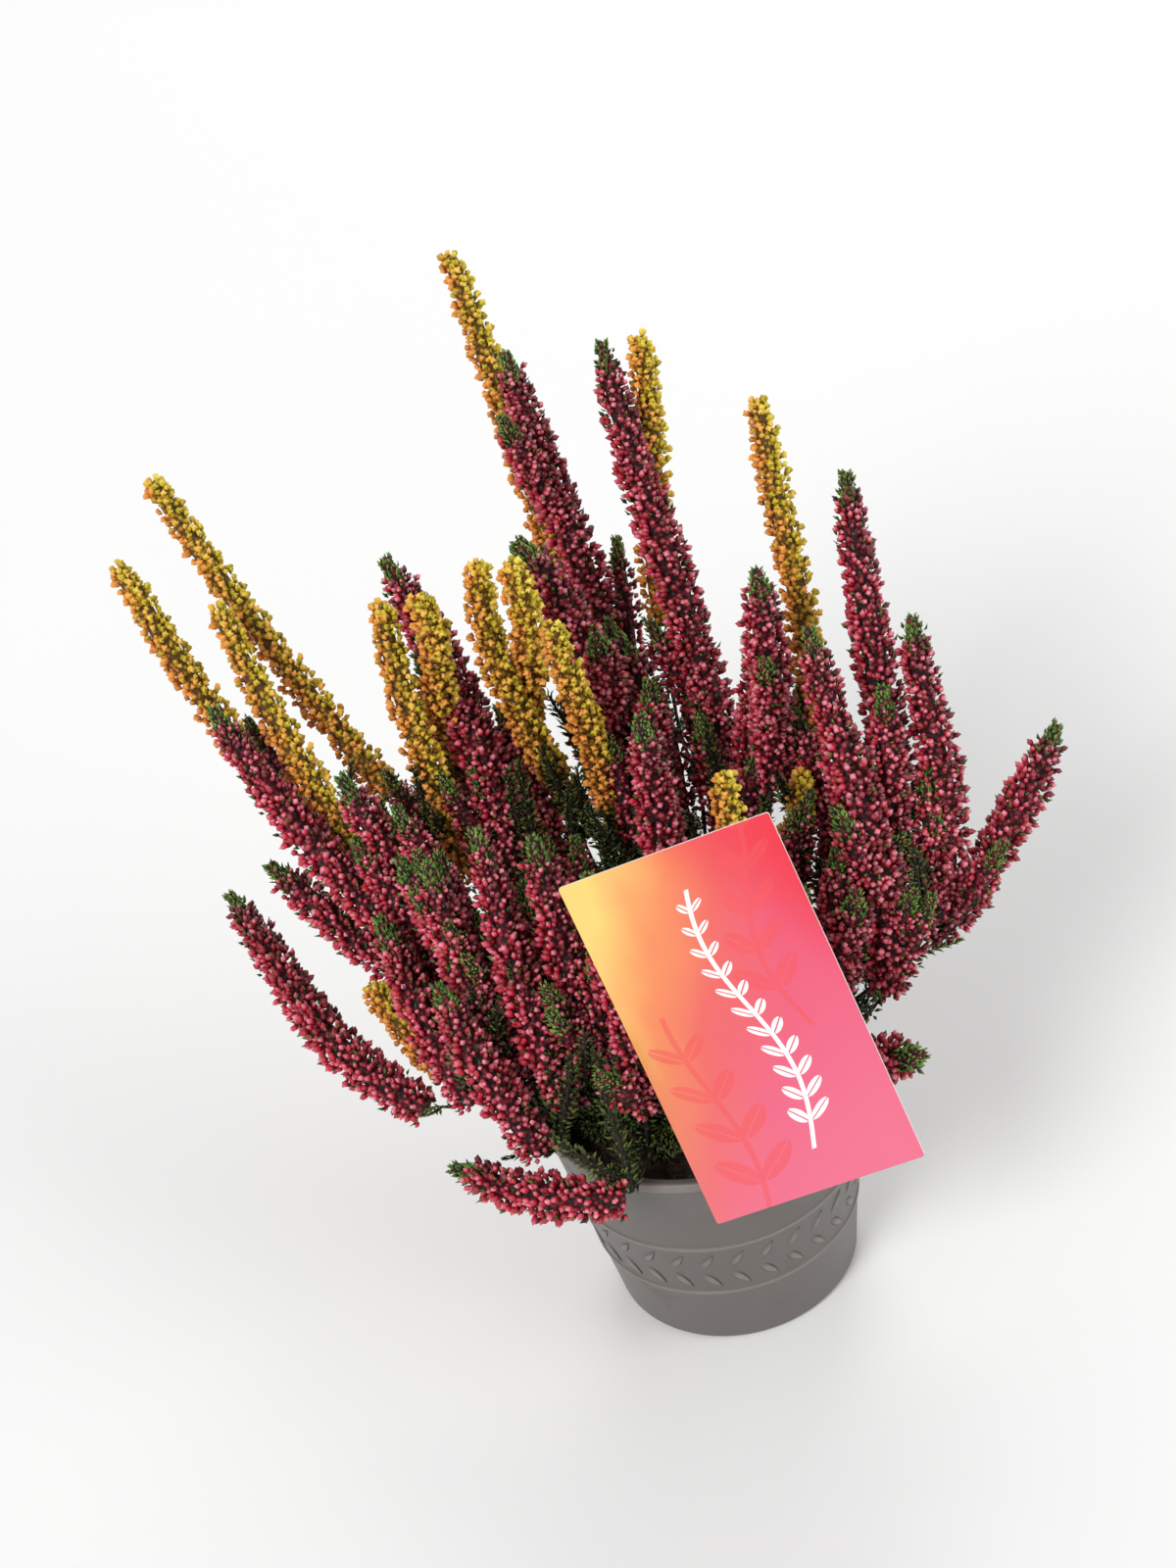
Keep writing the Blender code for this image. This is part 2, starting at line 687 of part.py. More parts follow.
def root(name, place, finish):
    """A woody root that stands in the peat, with a knob above it."""
    top = SOIL_TOP + SOIL_LUMP
    profile = [
        (0, SOIL_TOP - ROOT_DEPTH),
        (ROOT_RADIUS, SOIL_TOP - ROOT_DEPTH),
        (ROOT_RADIUS, top),
        (KNOB_RADIUS, top + 0.4 * KNOB_RISE),
        (KNOB_RADIUS * 0.8, top + KNOB_RISE),
        (0, top + 1.3 * KNOB_RISE),
    ]
    vertices, faces = turned(profile, ROOT_SIDES)
    placed = [(x + place[0], y + place[1], z) for x, y, z in vertices]
    return add_object(name, placed, faces, finish)


def plants(lines):
    leafy = material("leafy_stem", (0.055, 0.085, 0.020), 0.7)
    flower = material("crimson_bud", (0.30, 0.012, 0.040), 0.6)
    gold = material("gold_leaf", (0.62, 0.38, 0.030), 0.6)
    finishes = {"crimson": flower, "gold": gold}
    numbers = {"crimson": 0, "gold": 0}
    stems = {plant: [] for plant in range(len(PLANTS))}
    for k, (plant, points, foot) in enumerate(lines):
        lower = points[: foot + 1].copy()
        if k < len(SHOOTS):
            kind = SHOOTS[k][0]
            numbers[kind] += 1
            spike(f"{kind}_{numbers[kind]:02d}", kind, points[foot:], finishes[kind])
            lower[-1] -= unit(points[foot + 1] - points[foot]) * (GAP + STEM_RADIUS)
        stems[plant].append(stem(lower))
    for plant, place in enumerate(PLANTS):
        join(root(f"plant_{plant + 1}", polar(*place, 0), leafy), stems[plant])


def join(trunk, branches):
    """Unites a plant's stems with its root, in one body."""
    group = bpy.data.collections.new("branches")
    bpy.context.scene.collection.children.link(group)
    for branch in branches:
        bpy.context.collection.objects.unlink(branch)
        group.objects.link(branch)
    union = trunk.modifiers.new("branches", "BOOLEAN")
    union.operation = "UNION"
    union.operand_type = "COLLECTION"
    union.collection = group
    union.solver = "MANIFOLD"
    bake(trunk, list(group.objects))
    bpy.data.collections.remove(group)
    fill_pockets(trunk)


def fill_pockets(target):
    """Removes the small closed shells that the union leaves inside the body."""
    form = bmesh.new()
    form.from_mesh(target.data)
    shells = []
    waiting = set(form.verts)
    while waiting:
        shell = set()
        edge = [waiting.pop()]
        while edge:
            vertex = edge.pop()
            shell.add(vertex)
            for link in vertex.link_edges:
                other = link.other_vert(vertex)
                if other in waiting:
                    waiting.remove(other)
                    edge.append(other)
        shells.append(shell)
    shells.sort(key=len)
    for shell in shells[:-1]:
        bmesh.ops.delete(form, geom=list(shell), context="VERTS")
    form.to_mesh(target.data)
    form.free()


def main():
    for old in list(bpy.data.objects):
        bpy.data.objects.remove(old)
    pot()
    soil()
    label_card()
    label_stake()
    plants(make_clear(shoot_lines()))


main()
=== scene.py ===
import random
from math import atan2, cos, pi, radians, sin, sqrt, tau

import bmesh
import bpy
import numpy as np
from mathutils import Matrix, Vector, noise
from numpy.linalg import norm, svd
from numpy.polynomial import polynomial


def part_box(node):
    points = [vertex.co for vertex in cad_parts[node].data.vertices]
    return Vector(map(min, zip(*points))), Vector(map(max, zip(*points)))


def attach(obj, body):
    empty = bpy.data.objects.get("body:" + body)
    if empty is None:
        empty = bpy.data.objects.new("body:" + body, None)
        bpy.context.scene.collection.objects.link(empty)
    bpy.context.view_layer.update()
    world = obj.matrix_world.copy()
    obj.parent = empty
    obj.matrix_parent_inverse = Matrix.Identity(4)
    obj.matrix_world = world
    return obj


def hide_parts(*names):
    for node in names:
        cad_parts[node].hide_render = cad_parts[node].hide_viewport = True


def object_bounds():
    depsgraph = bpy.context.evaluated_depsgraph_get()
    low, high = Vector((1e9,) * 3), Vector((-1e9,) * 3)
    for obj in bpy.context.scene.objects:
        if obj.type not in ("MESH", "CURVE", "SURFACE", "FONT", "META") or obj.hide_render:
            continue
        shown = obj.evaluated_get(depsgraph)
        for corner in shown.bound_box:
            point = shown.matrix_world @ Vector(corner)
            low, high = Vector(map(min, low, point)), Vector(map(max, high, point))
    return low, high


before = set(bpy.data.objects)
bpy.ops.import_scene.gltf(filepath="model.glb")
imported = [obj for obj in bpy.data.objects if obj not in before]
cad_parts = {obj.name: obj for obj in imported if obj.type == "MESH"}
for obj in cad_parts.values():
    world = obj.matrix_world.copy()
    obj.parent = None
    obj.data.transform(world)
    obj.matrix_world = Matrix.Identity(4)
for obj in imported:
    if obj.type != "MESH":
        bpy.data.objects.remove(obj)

mm = 0.001
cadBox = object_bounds()
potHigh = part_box("pot")[1]
peatLow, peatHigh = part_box("soil")


# Node trees: a wire is one output socket, and arithmetic on wires adds Math nodes
def arithmetic(operation):
    return lambda wire, other: wire.of(operation, other)


class Wire:
    def __init__(self, bench, socket):
        self.bench = bench
        self.socket = socket

    def other(self, key):
        return Wire(self.bench, pick(self.socket.node.outputs, key))

    def of(self, operation, *others):
        return self.bench.maths(operation, self, *others)

    __add__ = __radd__ = arithmetic("ADD")
    __mul__ = __rmul__ = arithmetic("MULTIPLY")
    __sub__ = arithmetic("SUBTRACT")
    __truediv__ = arithmetic("DIVIDE")
    __pow__ = arithmetic("POWER")

    def __rsub__(self, other):
        return self.bench.maths("SUBTRACT", other, self)


class Bench:
    def __init__(self, tree):
        self.tree = tree

    def add(self, kind, values=None, out=0, **settings):
        node = self.tree.nodes.new(kind)
        for name, value in settings.items():
            setattr(node, name, value)
        for key, value in (values or {}).items():
            self.plug(pick(node.inputs, key), value)
        return Wire(self, pick(node.outputs, out))

    def plug(self, socket, value):
        # a list goes to a socket that takes several, and a plain colour is given as it shows on a screen
        if isinstance(value, list):
            for wire in reversed(value):
                self.tree.links.new(wire.socket, socket)
        elif isinstance(value, Wire):
            self.tree.links.new(value.socket, socket)
        else:
            socket.default_value = tint(*value) if socket.type == "RGBA" else value

    def maths(self, operation, *values):
        return self.add("ShaderNodeMath", dict(enumerate(values)), operation=operation)

    def vectors(self, operation, *values, out=0):
        return self.add("ShaderNodeVectorMath", dict(enumerate(values)), out, operation=operation)

    def summed(self, first, *others):
        for other in others:
            first = self.vectors("ADD", first, other)
        return first

    def scaled(self, vector, amount):
        return self.add("ShaderNodeVectorMath", {0: vector, "Scale": amount}, operation="SCALE")

    def xyz(self, x, y, z):
        return self.add("ShaderNodeCombineXYZ", {0: x, 1: y, 2: z})

    def split(self, vector):
        x = self.add("ShaderNodeSeparateXYZ", {0: vector})
        return x, x.other("Y"), x.other("Z")

    def between(self, value, low, high):
        values = {"Value": value, "From Min": low, "From Max": high}
        return self.add("ShaderNodeMapRange", values, interpolation_type="SMOOTHSTEP")

    # for materials
    def attribute(self, name):
        return self.add("ShaderNodeAttribute", out="Fac", attribute_name=name)

    def place(self, source="Object"):
        return self.add("ShaderNodeTexCoord", out=source)

    def speckle(self, scale, detail, vector=None):
        values = {"Vector": vector or self.place(), "Scale": scale, "Detail": detail}
        return self.add("ShaderNodeTexNoise", values, "Fac")

    def mixed(self, share, first, second):
        values = {"Factor": share, "A": first, "B": second}
        return self.add("ShaderNodeMix", values, "Result", data_type="RGBA")

    def ramp(self, value, stops):
        wire = self.add("ShaderNodeValToRGB", {"Fac": value})
        elements = wire.socket.node.color_ramp.elements
        while len(elements) < len(stops):
            elements.new(1.0)
        for element, (place, color) in zip(elements, stops):
            element.position = place
            element.color = tint(*color)
        return wire

    def bumped(self, height, strength, distance):
        values = {"Height": height, "Strength": strength, "Distance": distance}
        return self.add("ShaderNodeBump", values, "Normal")

    # for Geometry Nodes
    def input(self, name, kind="Float"):
        socket = self.tree.interface.new_socket(name=name, in_out="INPUT", socket_type=f"NodeSocket{kind}")
        group = self.tree.nodes.get("Group Input") or self.tree.nodes.new("NodeGroupInput")
        return Wire(self, pick(group.outputs, socket.identifier))

    def output(self, wire):
        self.tree.interface.new_socket(name="Mesh", in_out="OUTPUT", socket_type="NodeSocketGeometry")
        self.plug(self.tree.nodes.new("NodeGroupOutput").inputs[0], wire)
        return self.tree

    def random(self, low, high, seed):
        kind = "FLOAT_VECTOR" if isinstance(low, tuple) else "FLOAT"
        return self.add("FunctionNodeRandomValue", {"Min": low, "Max": high, "Seed": seed}, data_type=kind)

    def kept(self, name):
        return self.add("GeometryNodeInputNamedAttribute", {"Name": name})

    def store(self, geometry, name, value):
        values = {"Geometry": geometry, "Name": name, "Value": value}
        return self.add("GeometryNodeStoreNamedAttribute", values)

    def moved(self, points, **how):
        return self.add("GeometryNodeSetPosition", {"Geometry": points, **how})

    def higher(self, limit):
        # true above the height that an input names
        height = self.split(self.add("GeometryNodeInputPosition"))[2]
        values = {"A": height, "B": self.input(limit)}
        return self.add("FunctionNodeCompare", values, operation="GREATER_THAN")

    def strewn(self, ground, chosen, gap, density, seed):
        kind = "GeometryNodeDistributePointsOnFaces"
        values = {"Mesh": ground, "Selection": chosen, "Distance Min": gap, "Density Max": density}
        return self.add(kind, {**values, "Seed": seed}, "Points", distribute_method="POISSON")

    def euler(self, turns):
        return self.add("FunctionNodeEulerToRotation", {"Euler": turns})

    def aimed(self, way):
        return self.add("FunctionNodeAlignRotationToVector", {"Vector": way}, axis="Z")

    def rolled(self, stand, angle):
        roll = self.add("FunctionNodeAxisAngleToRotation", {"Axis": (0, 0, 1), "Angle": angle})
        values = {"Rotation": stand, "Rotate By": roll}
        return self.add("FunctionNodeRotateRotation", values, rotation_space="LOCAL")

    def form(self, name):
        values = {"Object": self.input(name, "Object")}
        return self.add("GeometryNodeObjectInfo", values, "Geometry")

    def copies(self, points, form, stand, size, chosen=True):
        values = {"Points": points, "Instance": form, "Selection": chosen, "Rotation": stand, "Scale": size}
        return self.add("GeometryNodeInstanceOnPoints", values)

    def together(self, parts):
        return self.add("GeometryNodeJoinGeometry", {"Geometry": parts})

    def coated(self, geometry, name):
        # made real, in the material that an input names
        real = self.add("GeometryNodeRealizeInstances", {"Geometry": geometry})
        values = {"Geometry": real, "Material": self.input(name, "Material")}
        return self.add("GeometryNodeSetMaterial", values)


def geometryBench(name):
    return Bench(bpy.data.node_groups.new(name, "GeometryNodeTree"))


def pick(sockets, key):
    shown = [socket for socket in sockets if socket.enabled]
    if isinstance(key, int):
        return shown[key]
    return next(socket for socket in shown if key in (socket.identifier, socket.name))


def tint(red, green, blue):
    # a colour from its 0 to 255 values on a screen
    shares = [value / 255 for value in (red, green, blue)]
    light = [s / 12.92 if s <= 0.04045 else ((s + 0.055) / 1.055) ** 2.4 for s in shares]
    return (*light, 1.0)


def finish(name, dress, **fixed):
    # dress(bench) gives the colour, the roughness and a bump; fixed holds the shader's plain values
    made = bpy.data.materials.new(name)
    made.use_nodes = True
    shader = made.node_tree.nodes["Principled BSDF"]
    bench = Bench(made.node_tree)
    for key, value in fixed.items():
        shader.inputs[key.replace("_", " ")].default_value = value
    for key, value in zip(("Base Color", "Roughness", "Normal"), dress(bench)):
        bench.plug(shader.inputs[key], value)
    return made


def cloudy(first, second, scale, detail, rough, spread):
    # a plain look that drifts between two colours
    def dress(bench):
        cloud = bench.speckle(scale, detail)
        return bench.mixed(cloud, first, second), rough + cloud * spread

    return dress


# Meshes
def meshOf(name, vertices, faces):
    mesh = bpy.data.meshes.new(name)
    mesh.from_pydata([tuple(vertex) for vertex in vertices], [], faces)
    mesh.validate()
    mesh.shade_smooth()
    return mesh


def objectOf(name, mesh):
    made = bpy.data.objects.new(name, mesh)
    bpy.context.scene.collection.objects.link(made)
    return made


def baked(piece):
    # the piece's modifiers become its plain mesh
    graph = bpy.context.evaluated_depsgraph_get()
    mesh = bpy.data.meshes.new_from_object(piece.evaluated_get(graph))
    piece.modifiers.clear()
    piece.data = mesh
    return piece


def modify(piece, kind, **settings):
    modifier = piece.modifiers.new(kind.lower(), kind)
    for name, value in settings.items():
        setattr(modifier, name, value)
    return modifier


def grown(holder, tree, values):
    modifier = modify(holder, "NODES", node_group=tree)
    for item in tree.interface.items_tree:
        if item.in_out == "INPUT" and item.name in values:
            modifier[item.identifier] = values[item.name]
    return baked(holder)


def reshaped(mesh, work, source=None):
    # the mesh takes the source's shape, or its own, after work(form)
    form = bmesh.new()
    form.from_mesh(source or mesh)
    work(form)
    form.to_mesh(mesh)
    form.free()
    return mesh


def merged(node):
    # a copy of a CAD node's mesh with its corners joined
    def work(form):
        bmesh.ops.remove_doubles(form, verts=form.verts, dist=0.01 * mm)

    return reshaped(bpy.data.meshes.new(node), work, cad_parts[node].data)


def dressed(piece, look):
    piece.data.materials.clear()
    piece.data.materials.append(look)


def corners(mesh):
    found = np.zeros(len(mesh.vertices) * 3)
    mesh.vertices.foreach_get("co", found)
    return found.reshape(-1, 3)


def standFor(piece, node):
    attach(piece, "root")
    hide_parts(node)


def turned(profile, sides):
    # a closed solid turned about Z from (radius, height) pairs, axis to axis
    vertices = []
    rings = []
    for radius, height in profile:
        count = sides if radius else 1
        rings.append([len(vertices) + k % count for k in range(sides)])
        for k in range(count):
            turn = tau * k / sides
            vertices.append((radius * cos(turn), radius * sin(turn), height))
    faces = []
    for low, high in zip(rings, rings[1:]):
        for k in range(sides):
            j = (k + 1) % sides
            faces.append(list(dict.fromkeys((low[k], low[j], high[j], high[k]))))
    return vertices, faces


def softened(profile, radius):
    # the same profile with its inner corners rounded, each in three steps
    rounded = [profile[0]]
    for before, corner, after in zip(profile, profile[1:], profile[2:]):
        before, corner, after = Vector(before), Vector(corner), Vector(after)
        low = corner + (before - corner) * min(0.5, radius / (before - corner).length)
        high = corner + (after - corner) * min(0.5, radius / (after - corner).length)
        for share in (0, 1 / 3, 2 / 3, 1):
            rounded.append(low.lerp(corner, share).lerp(corner.lerp(high, share), share))
    return rounded + [profile[-1]]


# The pot
pot = {
    "sides": 144,
    "wall": 1.6 * mm,
    "lip": 1.5 * mm, "lipHeight": 3.4 * mm,
    "floor": 5 * mm,
    "baseRadius": 40 * mm, "padRadius": 15 * mm, "footRing": (35 * mm, 39 * mm), "recess": 2.5 * mm,
    "rounding": 0.5 * mm,
    "lines": (27 * mm, 51 * mm), "lineProud": 0.6 * mm,
    "edge": 0.6 * mm,  # half a raised line, and the slope beside it
    "bevel": 1.6 * mm,
    "drains": 6, "drainRadius": 3.5 * mm, "drainCircle": 25 * mm, "drainSides": 24,
}


def potWall(height):
    top = potHigh.x - pot["lip"]
    return pot["baseRadius"] + (top - pot["baseRadius"]) * height / potHigh.z


def potPlastic(bench):
    cloud = bench.speckle(28.0, 4.0)
    fine = bench.speckle(900.0, 2.0)
    grime = bench.between(bench.speckle(60.0, 5.0), 0.55, 0.8)
    x, y, height = bench.split(bench.place())
    slope = (potWall(potHigh.z) - potWall(0)) / potHigh.z
    proud = (x * x + y * y).of("SQRT") - height * slope - potWall(0)
    # painted highlight: the raised lines and leaves are painted paler where they stand proud, as if light
    # caught them
    paintedRidgeHighlight = bench.between(proud, 0.25 * mm, 0.6 * mm)  # raised lines and leaves are a little paler
    color = bench.mixed(cloud, (92, 87, 83), (105, 99, 95))
    color = bench.mixed(grime * 0.35, color, (84, 74, 66))
    color = bench.mixed(paintedRidgeHighlight * 0.6, color, (134, 124, 118))
    grain = bench.bumped(fine, 0.12, 0.2 * mm)
    return color, 0.36 + cloud * 0.12 + grime * 0.15, grain


def makePot():
    edge, bevel = pot["edge"], pot["bevel"]
    ringIn, ringOut = pot["footRing"]
    rim = potHigh.x
    lipFoot = potHigh.z - pot["lipHeight"]
    profile = [(0, 0), (pot["padRadius"], 0), (pot["padRadius"] + edge, pot["recess"])]
    profile += [(ringIn - 2 * edge, pot["recess"]), (ringIn, 0), (ringOut, 0), (potWall(bevel), bevel)]
    for line in pot["lines"]:
        for step, proud in ((-1.6, 0), (-1, pot["lineProud"]), (1, pot["lineProud"]), (1.6, 0)):
            height = line + step * edge
            profile.append((potWall(height) + proud, height))
    profile += [(potWall(lipFoot), lipFoot - edge), (rim, lipFoot), (rim, potHigh.z)]
    profile += [(rim - pot["lip"] - pot["wall"], potHigh.z)]
    profile += [(potWall(pot["floor"]) - pot["wall"], pot["floor"]), (0, pot["floor"])]
    body = objectOf("pot_body", meshOf("pot", *turned(softened(profile, pot["rounding"]), pot["sides"])))
    radius, top = pot["drainRadius"], pot["floor"] + mm
    vertices, faces = turned([(0, -mm), (radius, -mm), (radius, top), (0, top)], pot["drainSides"])
    drills = []
    for k in range(pot["drains"]):
        turn = tau * (k + 0.5) / pot["drains"]
        way = Vector((cos(turn), sin(turn), 0)) * pot["drainCircle"]
        drills.append(objectOf("drill", meshOf("drill", [Vector(v) + way for v in vertices], faces)))
        modify(body, "BOOLEAN", object=drills[-1], solver="EXACT")
    baked(body)
    for drill in drills:
        bpy.data.objects.remove(drill)
    body.data.set_sharp_from_angle(angle=radians(35))
    look = finish("potPlastic", potPlastic, IOR=1.5)
    dressed(body, look)
    standFor(body, "pot")
    return look


# A band of low leaves moulded between the pot's two raised lines
band = {
    "Pairs": 30,
    "Height": 39 * mm,
    "Apart": 0.4 * mm,  # the two leaves of a pair, from the middle line
    "Leaf length": 10.5 * mm, "Leaf width": 3.4 * mm, "Leaf proud": 0.7 * mm,
    "Sink": 0.25 * mm, "Tilt": radians(38),
}


def leafPad(form):
    # a unit leaf along +X, lying in the XY plane, with a low crown and a flat back
    steps = 8
    vertices = [(0, 0, 0), (0.5, 0, -0.3), (1, 0, 0)]
    for side in (1, -1):
        for k in range(1, steps):
            share = k / steps
            width = 0.5 * sin(pi * share ** 0.85)
            vertices.append((share, side * width, 0))
            vertices.append((share, side * width * 0.45, sin(pi * share)))
    for vertex in vertices:
        form.verts.new(vertex)
    bmesh.ops.convex_hull(form, input=form.verts)


def bandTree():
    bench = geometryBench("leafBand")
    ask = bench.input
    ask("Geometry", "Geometry")
    leaf = bench.form("Leaf")
    pairs = ask("Pairs", "Int")
    size = bench.xyz(ask("Leaf length"), ask("Leaf width"), ask("Leaf proud"))
    reach = ask("Wall radius") - ask("Sink")
    height, apart, tilt, slope = map(ask, ("Height", "Apart", "Tilt", "Slope"))
    halves = []
    for side in (1, -1):
        ring = bench.add("GeometryNodeMeshCircle", {"Vertices": pairs})
        turn = bench.add("GeometryNodeInputIndex") * tau / pairs
        spot = bench.xyz(turn.of("COSINE") * reach, turn.of("SINE") * reach, height + side * apart)
        stand = bench.euler(bench.xyz(0.0, pi / 2 + slope, turn))
        stand = bench.rolled(stand, pi / 2 + side * (pi / 2 - tilt))
        halves.append(bench.copies(bench.moved(ring, Position=spot), leaf, stand, size))
    return bench.output(bench.coated(bench.together(halves), "Finish"))


def makeBand(look):
    leaf = objectOf("leafPad", reshaped(bpy.data.meshes.new("leafPad"), leafPad))
    leaf.data.shade_smooth()
    piece = objectOf("pot_leaf_band", bpy.data.meshes.new("band"))
    slope = atan2(potHigh.x - pot["lip"] - pot["baseRadius"], potHigh.z)
    wall = {"Wall radius": potWall(band["Height"]), "Slope": slope}
    grown(piece, bandTree(), {**band, **wall, "Leaf": leaf, "Finish": look})
    bpy.data.objects.remove(leaf)
    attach(piece, "root")


# The peat
peat = {
    "rings": 26, "sides": 96,
    "wallGap": 0.4 * mm, "shoulder": 2 * mm,
    "room": 1.5 * mm,  # for swells and crumbs, above and below the even surface
    "swells": ((0.9 * mm, 90), (0.45 * mm, 300)),
    "crumbLumps": (0.65, 1.1),
    "mostPerArea": 4e5,
    "seed": 5,
    "Crumb gap": 2.0 * mm, "Smallest crumb": 0.6 * mm, "Largest crumb": 1.7 * mm,
}


def peatLook(bench):
    lumps = bench.speckle(260.0, 5.0)
    fibres = bench.between(bench.speckle(900.0, 2.0), 0.6, 0.72)
    base = bench.ramp(lumps, [(0.3, (28, 19, 14)), (0.55, (58, 41, 30)), (0.8, (92, 68, 48))])
    color = bench.mixed(fibres * 0.5, base, (140, 112, 82))
    bump = bench.bumped(lumps, 0.8, 0.6 * mm)
    return color, 0.9 + fibres * 0.08, bump


def crumbTree():
    bench = geometryBench("crumbs")
    ground = bench.input("Ground", "Geometry")
    above, gap = bench.higher("Above"), bench.input("Crumb gap")
    spots = bench.strewn(ground, above, gap, peat["mostPerArea"], peat["seed"])
    size = bench.random(bench.input("Smallest crumb"), bench.input("Largest crumb"), 1)
    stand = bench.euler(bench.random((0, 0, 0), (tau,) * 3, 2))
    crumbs = bench.copies(spots, bench.form("Crumb"), stand, bench.xyz(size * 1.4, size, size * 0.8))
    return bench.output(bench.coated(bench.together([ground, crumbs]), "Finish"))


def makePeat():
    top = peatHigh.z - peat["room"]
    wall = pot["wall"] + peat["wallGap"]
    outer = potWall(top) - wall
    profile = [(0, peatLow.z), (potWall(peatLow.z) - wall, peatLow.z), (outer, top - peat["shoulder"])]
    rings = peat["rings"]
    profile += [(outer * (rings - k) / rings, top) for k in range(rings + 1)]
    vertices, faces = turned(profile, peat["sides"])
    risen = []
    for x, y, z in vertices:
        if z == top:
            place = Vector((x, y, 0))
            z += sum(swell * noise.noise(place * scale) for swell, scale in peat["swells"])
        risen.append((x, y, z))
    body = objectOf("peat", meshOf("peat", risen, faces))
    rng = random.Random(peat["seed"])

    def lump(form):
        bmesh.ops.create_icosphere(form, subdivisions=1, radius=1.0)
        for vertex in form.verts:
            vertex.co *= rng.uniform(*peat["crumbLumps"])

    crumb = objectOf("crumb", reshaped(bpy.data.meshes.new("crumb"), lump))
    values = {"Above": top - peat["room"], "Crumb": crumb, "Finish": finish("peatCrumbs", peatLook)}
    grown(body, crumbTree(), {**peat, **values})
    bpy.data.objects.remove(crumb)
    standFor(body, "soil")


# The card and its stake
card = {
    "columns": 10, "rows": 26, "corner": 0.9 * mm, "bow": 0.5 * mm,
    "edgeRounding": 0.12 * mm, "stakeRounding": 0.35 * mm,
}


def cardFrame():
    # the card's middle, its across, along and facing ways, and its width, length and thickness
    points = corners(merged("label_card"))
    middle = (points.max(0) + points.min(0)) / 2
    along, _, facing = svd(points - points.mean(0), full_matrices=False)[2]
    along = along if along[2] > 0 else -along
    facing = facing if facing[1] < 0 else -facing
    across = np.cross(along, facing)
    ways = np.stack((across, along, facing))
    reach = (points - middle) @ ways.T
    middle = middle + (reach.max(0) + reach.min(0)) / 2 @ ways
    return middle, ways, reach.max(0) - reach.min(0)


cardMiddle, cardWays, cardSize = cardFrame()


def cardPrint(bench):
    # a warm sweep from yellow to coral, with one heather sprig in white and two in deeper coral
    u, v, _ = bench.split(bench.place("UV"))
    haze = bench.speckle(3.2, 2.0, bench.place("UV")) - 0.5
    warm = v * 0.78 - u * 1.02 + haze * 0.35 + 0.36
    sweep = ((0.05, (222, 78, 110)), (0.38, (224, 92, 86)), (0.66, (231, 132, 80)), (1.0, (244, 202, 108)))
    ruby = bench.between(u * 0.9 + v * 1.1 + haze * 0.25, 1.35, 1.9)
    foot = bench.between(u * 0.35 - v + 0.55, 0.1, 0.9)
    color = bench.mixed(ruby, bench.ramp(warm, sweep), (224, 38, 58))
    color = bench.mixed(foot * 0.5, color, (228, 122, 150))
    x = (u - 0.5) * (cardSize[0] / mm)
    y = v * (cardSize[1] / mm)
    for sort in ("lowCoral", "highCoral"):
        color = bench.mixed(sprigInk(bench, x, y, sprigs[sort]) * 0.55, color, (228, 70, 72))
    color = bench.mixed(sprigInk(bench, x, y, sprigs["white"]), color, (250, 243, 243))
    return color, 0.3 + haze * 0.08


# Printed sprigs, in millimetres on the card: stem from low to high, pairs of leaves a pitch apart
sprigs = {
    "white": {
        "low": 14, "high": 106, "x": 4, "sway": 5, "stem": 0.75,
        "pitch": 7.6, "leaf": 4.0, "half": 1.7, "slant": 42,
    },
    "lowCoral": {
        "low": -8, "high": 70, "x": -19, "sway": 4, "stem": 0.9,
        "pitch": 15, "leaf": 8.5, "half": 3.4, "slant": 40,
    },
    "highCoral": {
        "low": 52, "high": 130, "x": 20, "sway": -6, "stem": 0.9,
        "pitch": 13, "leaf": 7, "half": 2.9, "slant": 44,
    },
}


def sprigInk(bench, x, y, sort):
    # 1 on the sprig's stem and leaves, 0 beside them
    low, high, pitch = sort["low"], sort["high"], sort["pitch"]
    sway = ((y - low) * (tau / 100)).of("SINE") * sort["sway"] + sort["x"]
    away = (x - sway).of("ABSOLUTE")
    inside = bench.between(y, low - 0.4, low) * (1 - bench.between(y, high - 0.4, high))
    stem = (1 - bench.between(away, sort["stem"] - 0.15, sort["stem"] + 0.1)) * inside
    taper = 1.1 - (y - low) * (0.5 / (high - low))
    rise = ((y - low) / pitch).of("FRACT") * pitch - 0.1 * pitch
    slant = radians(sort["slant"])
    far = away * cos(slant) + rise * sin(slant)
    wide = rise * cos(slant) - away * sin(slant)
    reach = (far - taper * (sort["leaf"] + 0.8)) / (taper * sort["leaf"])
    girth = wide / (taper * sort["half"])
    leaf = 1 - bench.between(reach * reach + girth * girth, 0.88, 1.04)
    vein = bench.between(wide.of("ABSOLUTE"), 0.14, 0.32)
    bare = bench.between(y, low + pitch - 0.2, low + pitch)
    leaves = leaf * vein * bare * (1 - bench.between(y, high - 3, high - 2.8))
    return stem.of("MAXIMUM", leaves)


